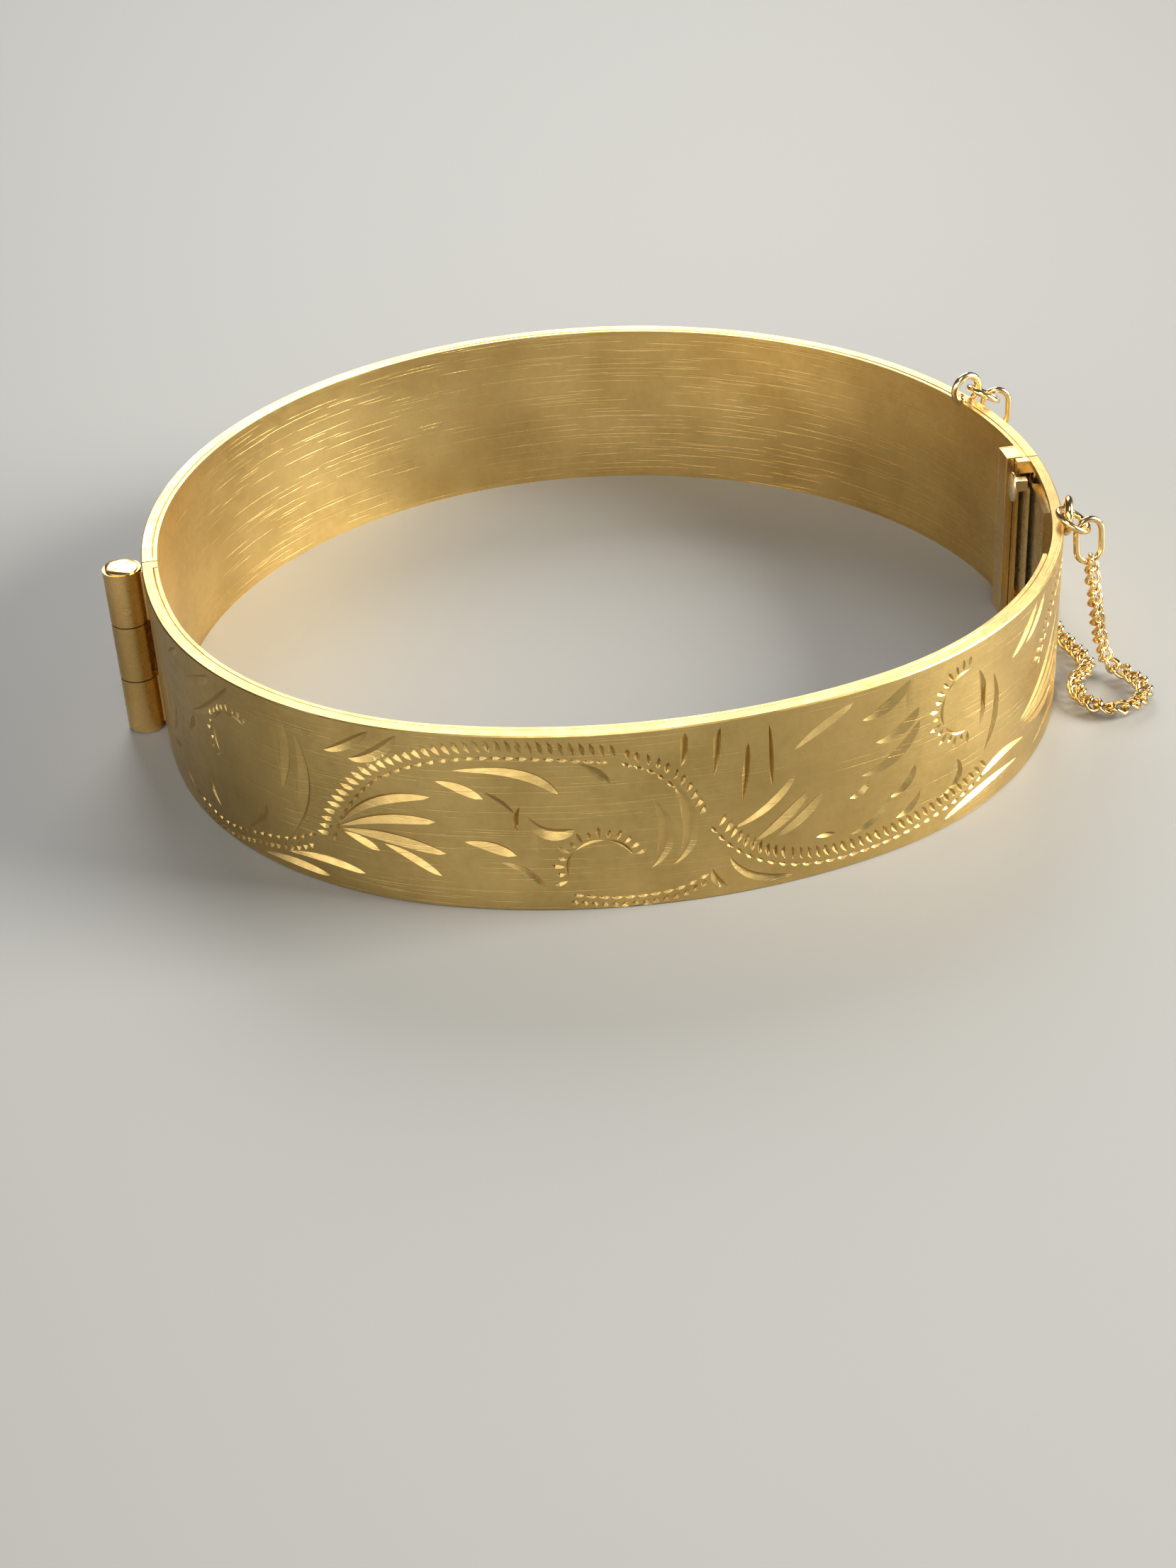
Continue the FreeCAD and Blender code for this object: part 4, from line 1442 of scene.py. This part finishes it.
@dataclass
class Clasp:
    """The box on the rear half, the frame and the folded tongue on the front half."""

    shop: Workshop
    wall: float = 0.18
    box_near: float = 0.32
    box_depth: float = 2.25
    box_length: float = 2.0
    window_margin: float = 0.6
    window_inner: float = 1.5
    frame_thickness: float = 0.7
    frame_depth: float = 1.7

    def _stepped(self, rim_width: float, near: float, far: float) -> Section:
        """Outline of a block that fits behind the rims and stands out past them to full height.

        Args:
            rim_width: how far the rims reach in.
            near: depth of its outer side between the rims.
            far: depth of its inner side.

        Returns:
            The section.
        """
        s = self.shop.sizes
        top = s.height
        inside = top - s.rim
        return [
            (far, 0), (rim_width, 0), (rim_width, s.rim), (near, s.rim),
            (near, inside), (rim_width, inside), (rim_width, top), (far, top),
        ]

    @staticmethod
    def _window(near: float, far: float, low: float, high: float) -> Section:
        """A window with as many corners as the stepped outline, in the same order.

        Args:
            near: depth of its outer side.
            far: depth of its inner side.
            low: lower edge.
            high: upper edge.

        Returns:
            The section.
        """
        middle = (near + far) / 2
        return [
            (far, low), (middle, low), (near, low), (near, (2 * low + high) / 3),
            (near, (low + 2 * high) / 3), (near, high), (middle, high), (far, high),
        ]

    def build(self) -> None:
        """Make the box and the frame, and dress the tongue."""
        s, outline, builder = self.shop.sizes, self.shop.outline, self.shop.builder
        start = outline.clasp + s.half_gap / 2
        box_end = start + self.box_length
        front_end = outline.length + outline.clasp - s.half_gap / 2
        block = self._stepped(s.thickness, self.box_near, self.box_depth)
        near = self.box_near + self.wall
        inset = s.rim + self.wall
        margin = s.rim + self.window_margin
        hollow = self._window(near, self.box_depth - self.wall, inset, s.height - inset)
        mouth = self._window(near, self.window_inner, margin, s.height - margin)
        plates: list[tuple[str, Stations, Section, Section | None, str, str]] = [
            ("clasp_box_case", [start + self.wall, box_end - self.wall],
             block, hollow, "rear_half", "clasp_box"),
            ("clasp_box_back", [box_end - self.wall, box_end], block, None, "rear_half", "box_back_plate"),
            ("clasp_box_mouth", [start, start + self.wall], block, mouth, "rear_half", "box_mouth_plate"),
            ("front_end_frame", [front_end - self.frame_thickness, front_end],
             self._stepped(s.pocket_rim, s.skin, self.frame_depth), mouth, "front_half", "front_clasp_frame"),
        ]
        for name, ends, outer, inner, body, node in plates:
            maker = MeshMaker(name)
            stations = spread(ends[0], ends[1], BandBuilder.STEP)
            if inner is None:
                builder.sweep(maker, stations, outer)
            else:
                builder.plate(maker, stations, outer, inner)
            piece = bevelled(self.shop.dress(maker.finish(sharp=30), Finish.CLASP), 0.05)
            self.shop.place(piece, body, "satin_gold", node)
        # the tongue leaves and the thumb tab take the cream gold: painted highlight on them
        self.shop.dress_nodes(Finish.SPRING_PAINTED_HIGHLIGHT, "tongue_base_leaf", "tongue_spring_leaf", "thumb_tab")


@dataclass
class RingsAndLoops:
    """The soldered loops, the link rings and the jump rings."""

    shop: Workshop

    def build(self) -> None:
        """Dress the wire work."""
        kinds = ("chain_loop", "link_ring", "jump_ring")
        names = [f"{half}_{kind}" for half in ("front", "rear") for kind in kinds]
        self.shop.dress_nodes(Finish.WIRE, *names)


# ------------------------------------------------------------------ safety chain


class LinkTree:
    """Geometry Nodes that thread curb links along a curve, every second one rolled over a little."""

    def __init__(self) -> None:
        """Build the tree."""
        self.tree = bpy.data.node_groups.new("curb_links", "GeometryNodeTree")
        self.sockets: dict[str, str] = {}
        for label, kind in (
            ("Path", "NodeSocketGeometry"), ("Links", "NodeSocketInt"), ("Length", "NodeSocketFloat"),
            ("Width", "NodeSocketFloat"), ("Wire", "NodeSocketFloat"), ("Twist", "NodeSocketFloat"),
            ("Roll", "NodeSocketFloat"), ("Start Roll", "NodeSocketFloat"), ("Drift", "NodeSocketFloat"),
            ("Finish", "NodeSocketMaterial"),
        ):
            made = self.tree.interface.new_socket(name=label, in_out="INPUT", socket_type=kind)
            self.sockets[label] = made.identifier
        self.tree.interface.new_socket(name="Links", in_out="OUTPUT", socket_type="NodeSocketGeometry")
        self.given = self.tree.nodes.new("NodeGroupInput").outputs
        self._connect()

    def _node(self, kind: str, *values: object, **settings: object) -> bpy.types.Node:
        """Add a node.

        Args:
            kind: its type.
            *values: sockets or numbers for its first inputs in order; None leaves one as it is.
            **settings: its own settings.

        Returns:
            The node.
        """
        made = self.tree.nodes.new(kind)
        for key, value in settings.items():
            setattr(made, key, value)
        for socket, value in zip([s for s in made.inputs if s.enabled], values):
            if isinstance(value, bpy.types.NodeSocket):
                self.tree.links.new(value, socket)
            elif value is not None:
                socket.default_value = value
        return made

    def _maths(self, operation: str, one: object, two: object) -> bpy.types.NodeSocket:
        """A maths node."""
        return self._node("ShaderNodeMath", one, two, operation=operation).outputs[0]

    def _link(self) -> bpy.types.NodeSocket:
        """One closed link, long along Z, its ends twisted opposite ways.

        Returns:
            Its mesh.
        """
        ring = self._node("GeometryNodeCurvePrimitiveCircle", 18, mode="RADIUS")
        ring.inputs["Radius"].default_value = 1.0
        corner = self._node("GeometryNodeInputPosition").outputs[0]
        place = self._node("ShaderNodeSeparateXYZ", corner).outputs
        both = self._maths("MULTIPLY", place["X"], place["Y"])
        shape = self._node(
            "ShaderNodeCombineXYZ",
            self._maths("MULTIPLY", place["Y"], self._maths("DIVIDE", self.given["Width"], 2.0)),
            self._maths("MULTIPLY", both, self._maths("MULTIPLY", self.given["Twist"], 2.0)),
            self._maths("MULTIPLY", place["X"], self._maths("DIVIDE", self.given["Length"], 2.0)),
        )
        bent = self._node("GeometryNodeSetPosition", ring.outputs["Curve"], None, shape.outputs[0]).outputs[0]
        section = self._node("GeometryNodeCurvePrimitiveCircle", 8, mode="RADIUS")
        self.tree.links.new(self.given["Wire"], section.inputs["Radius"])
        return self._node("GeometryNodeCurveToMesh", bent, section.outputs["Curve"]).outputs[0]

    def _connect(self) -> None:
        """Thread the links along the path and make them real."""
        half = self._maths("DIVIDE", 0.5, self.given["Links"])
        trimmed = self._node("GeometryNodeTrimCurve", mode="FACTOR")
        self.tree.links.new(self.given["Path"], trimmed.inputs["Curve"])
        self.tree.links.new(half, trimmed.inputs["Start"])
        self.tree.links.new(self._maths("SUBTRACT", 1.0, half), trimmed.inputs["End"])
        spots = self._node("GeometryNodeCurveToPoints", trimmed.outputs[0], mode="COUNT")
        self.tree.links.new(self.given["Links"], spots.inputs["Count"])
        number = self._node("GeometryNodeInputIndex").outputs[0]
        rolled = self._maths("MULTIPLY", self._maths("MODULO", number, 2.0), self.given["Roll"])
        share = self._maths("DIVIDE", number, self._maths("SUBTRACT", self.given["Links"], 1.0))
        started = self._maths("ADD", rolled, self.given["Start Roll"])
        angle = self._maths("ADD", started, self._maths("MULTIPLY", share, self.given["Drift"]))
        turn = self._node("FunctionNodeAxisAngleToRotation", (0.0, 0.0, 1.0), angle)
        facing = self._node(
            "FunctionNodeRotateRotation", spots.outputs["Rotation"], turn.outputs[0], rotation_space="LOCAL"
        )
        placed = self._node("GeometryNodeInstanceOnPoints")
        self.tree.links.new(spots.outputs["Points"], placed.inputs["Points"])
        self.tree.links.new(self._link(), placed.inputs["Instance"])
        self.tree.links.new(facing.outputs[0], placed.inputs["Rotation"])
        real = self._node("GeometryNodeRealizeInstances", placed.outputs[0])
        smooth = self._node("GeometryNodeSetShadeSmooth", real.outputs[0])
        dressed = self._node("GeometryNodeSetMaterial", smooth.outputs[0])
        self.tree.links.new(self.given["Finish"], dressed.inputs["Material"])
        result = self.tree.nodes.new("NodeGroupOutput")
        self.tree.links.new(dressed.outputs[0], result.inputs[0])


@dataclass
class SafetyChain:
    """The fine curb chain from the front jump ring, round on the floor, to the rear jump ring.

    Every second link is rolled over by roll, in degrees, and drift turns them all bit by bit so
    that the last one fits the rear jump ring. Places of ROUTE are measured from the oval's middle.
    """

    shop: Workshop
    links: int = 60
    length: float = 1.25
    width: float = 0.95
    wire: float = 0.165
    twist: float = 0.22
    roll: float = 16.0
    start_roll: float = 30.0
    drift: float = -50.0

    ROUTE = (
        (32.02, -11.42, 10.13), (32.35, -11.55, 7.7), (32.9, -11.0, 5.2), (33.5, -10.3, 2.9),
        (34.3, -10.1, 0.75), (35.3, -11.4, 0.68), (36.0, -13.8, 0.68), (34.4, -15.7, 0.68),
        (32.1, -15.8, 0.68), (31.0, -13.6, 0.68),
        (31.5, -11.3, 0.68), (33.0, -10.2, 0.68), (32.9, -8.0, 0.68), (32.2, -5.2, 0.68), (32.4, -2.4, 0.68),
        (33.1, 0.2, 0.68), (32.9, 2.8, 0.68), (32.2, 5.2, 0.68), (32.9, 7.6, 0.68), (34.0, 9.8, 0.68),
        (33.2, 11.4, 1.3), (32.5, 10.7, 3.6), (32.2, 10.3, 6.4), (31.74, 10.22, 10.28),
    )

    def build(self) -> None:
        """Thread the links along the route between the two halves."""
        path = self._path()
        modifier = path.modifiers.new("links", "NODES")
        tree = LinkTree()
        modifier.node_group = tree.tree
        values = {
            "Links": self.links,
            "Length": self.length * MM,
            "Width": self.width * MM,
            "Wire": self.wire * MM,
            "Twist": self.twist * MM,
            "Roll": math.radians(self.roll),
            "Start Roll": math.radians(self.start_roll),
            "Drift": math.radians(self.drift),
            "Finish": self.shop.materials[Finish.WIRE],
        }
        for label, value in values.items():
            modifier[tree.sockets[label]] = value
        evaluated = path.evaluated_get(bpy.context.evaluated_depsgraph_get())
        mesh = bpy.data.meshes.new_from_object(evaluated)
        mesh.name = "curb_chain"
        chain = bpy.data.objects.new("curb_chain", mesh)
        bpy.context.scene.collection.objects.link(chain)
        bpy.data.objects.remove(path)
        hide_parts("safety_chain")
        front, rear = (Vector(self._place(self.ROUTE[end])) for end in (0, -1))
        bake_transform(chain)
        log.info("chain: %d links, %d faces", self.links, len(mesh.polygons))

    def _place(self, point: Place) -> Place:
        """A point of the route in metres, in the frame."""
        x, y, z = point
        return ((x + self.shop.middle_x) * MM, (y + self.shop.middle_y) * MM, z * MM)

    def _path(self) -> bpy.types.Object:
        """The route as a smooth curve with no thickness.

        Returns:
            The curve object.
        """
        curve = bpy.data.curves.new("chain_path", "CURVE")
        curve.dimensions = "3D"
        spline = curve.splines.new("NURBS")
        spline.points.add(len(self.ROUTE) - 1)
        for point, place in zip(spline.points, self.ROUTE):
            point.co = (*self._place(place), 1.0)
        spline.order_u = 3
        spline.use_endpoint_u = True
        spline.resolution_u = 16
        path = bpy.data.objects.new("chain_path", curve)
        bpy.context.scene.collection.objects.link(path)
        return path


# ------------------------------------------------------------------ studio


@dataclass
class Studio:
    """The camera, the pale floor and the soft lights."""

    shop: Workshop
    eye: Place = (-18.3535, -152.9173, 89.1681)
    elevation: float = 33.0
    azimuth: float = -6.214
    roll: float = -3.295
    lens: float = 56.35

    def build(self) -> None:
        """Put up everything that isn't the bangle."""
        self._camera()
        self._floor()
        self._light("window", (0.46, -0.10, 0.22), 0.26, 7.0, (1.0, 0.97, 0.90))
        self._light("back_panel", (0.02, 0.50, 0.34), 0.36, 2.2, (1.0, 0.98, 0.95))
        self._light("front_wall", (-0.36, -0.50, 0.24), 0.36, 3.9, (1.0, 0.99, 0.97), wide=1.3)
        self._light("over_front", (-0.04, -0.26, 0.48), 0.14, 0.7, (1.0, 0.99, 0.96))
        world = bpy.data.worlds.new("studio")
        world.use_nodes = True
        world.node_tree.nodes["Background"].inputs["Color"].default_value = (0.62, 0.64, 0.68, 1)
        world.node_tree.nodes["Background"].inputs["Strength"].default_value = 0.12
        bpy.context.scene.view_settings.view_transform = "Standard"
        bpy.context.scene.world = world

    def _camera(self) -> None:
        """The camera, set from the oval's middle."""
        data = bpy.data.cameras.new("camera")
        data.sensor_width = 36.0
        data.lens = self.lens
        data.clip_start, data.clip_end = 0.005, 10.0
        camera = bpy.data.objects.new("camera", data)
        bpy.context.scene.collection.objects.link(camera)
        e, a, r = (math.radians(v) for v in (self.elevation, self.azimuth, self.roll))
        back = Vector((math.sin(a) * math.cos(e), -math.cos(a) * math.cos(e), math.sin(e)))
        level = Vector((math.cos(a), math.sin(a), 0))
        upright = back.cross(level)
        right = math.cos(r) * level + math.sin(r) * upright
        up = math.cos(r) * upright - math.sin(r) * level
        turn = Matrix((right, up, back)).transposed().to_4x4()
        x, y, z = self.eye
        place = Vector((x + self.shop.middle_x, y + self.shop.middle_y, z)) * MM
        camera.matrix_world = Matrix.Translation(place) @ turn
        bpy.context.scene.camera = camera

    def _floor(self) -> None:
        """A plain pale floor."""
        mesh = bpy.data.meshes.new("floor")
        half = 1.5
        corners = [(-half, -half, 0), (half, -half, 0), (half, half, 0), (-half, half, 0)]
        mesh.from_pydata(corners, [], [(0, 1, 2, 3)])
        floor = bpy.data.objects.new("floor", mesh)
        bpy.context.scene.collection.objects.link(floor)
        material = bpy.data.materials.new("pale_floor")
        material.use_nodes = True
        shader = material.node_tree.nodes["Principled BSDF"]
        shader.inputs["Base Color"].default_value = (0.30, 0.30, 0.29, 1)
        shader.inputs["Roughness"].default_value = 0.55
        mesh.materials.append(material)

    @staticmethod
    def _light(
        name: str, place: Place, size: float, power: float, colour: Colour, wide: float | None = None
    ) -> None:
        """A soft light that faces the bangle.

        Args:
            name: name of the light.
            place: where it hangs, in metres.
            size: its height, and its width too where wide isn't given.
            power: watts.
            colour: its colour.
            wide: its width.
        """
        data = bpy.data.lights.new(name, "AREA")
        data.shape = "RECTANGLE"
        data.size = wide or size
        data.size_y = size
        data.energy = power
        data.color = colour
        light = bpy.data.objects.new(name, data)
        light.location = place
        light.rotation_mode = "QUATERNION"
        light.rotation_quaternion = Vector(place).to_track_quat("Z", "Y")
        bpy.context.scene.collection.objects.link(light)


def main() -> None:
    """Build the bangle piece by piece and put it in the studio."""
    logging.basicConfig(level=logging.INFO, format="%(name)s: %(message)s")
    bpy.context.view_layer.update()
    shop = Workshop()
    for assembly in (FrontHalf, RearHalf, Hinge, Clasp, RingsAndLoops, SafetyChain):
        assembly(shop).build()
    Studio(shop).build()


if __name__ == "__main__":
    main()
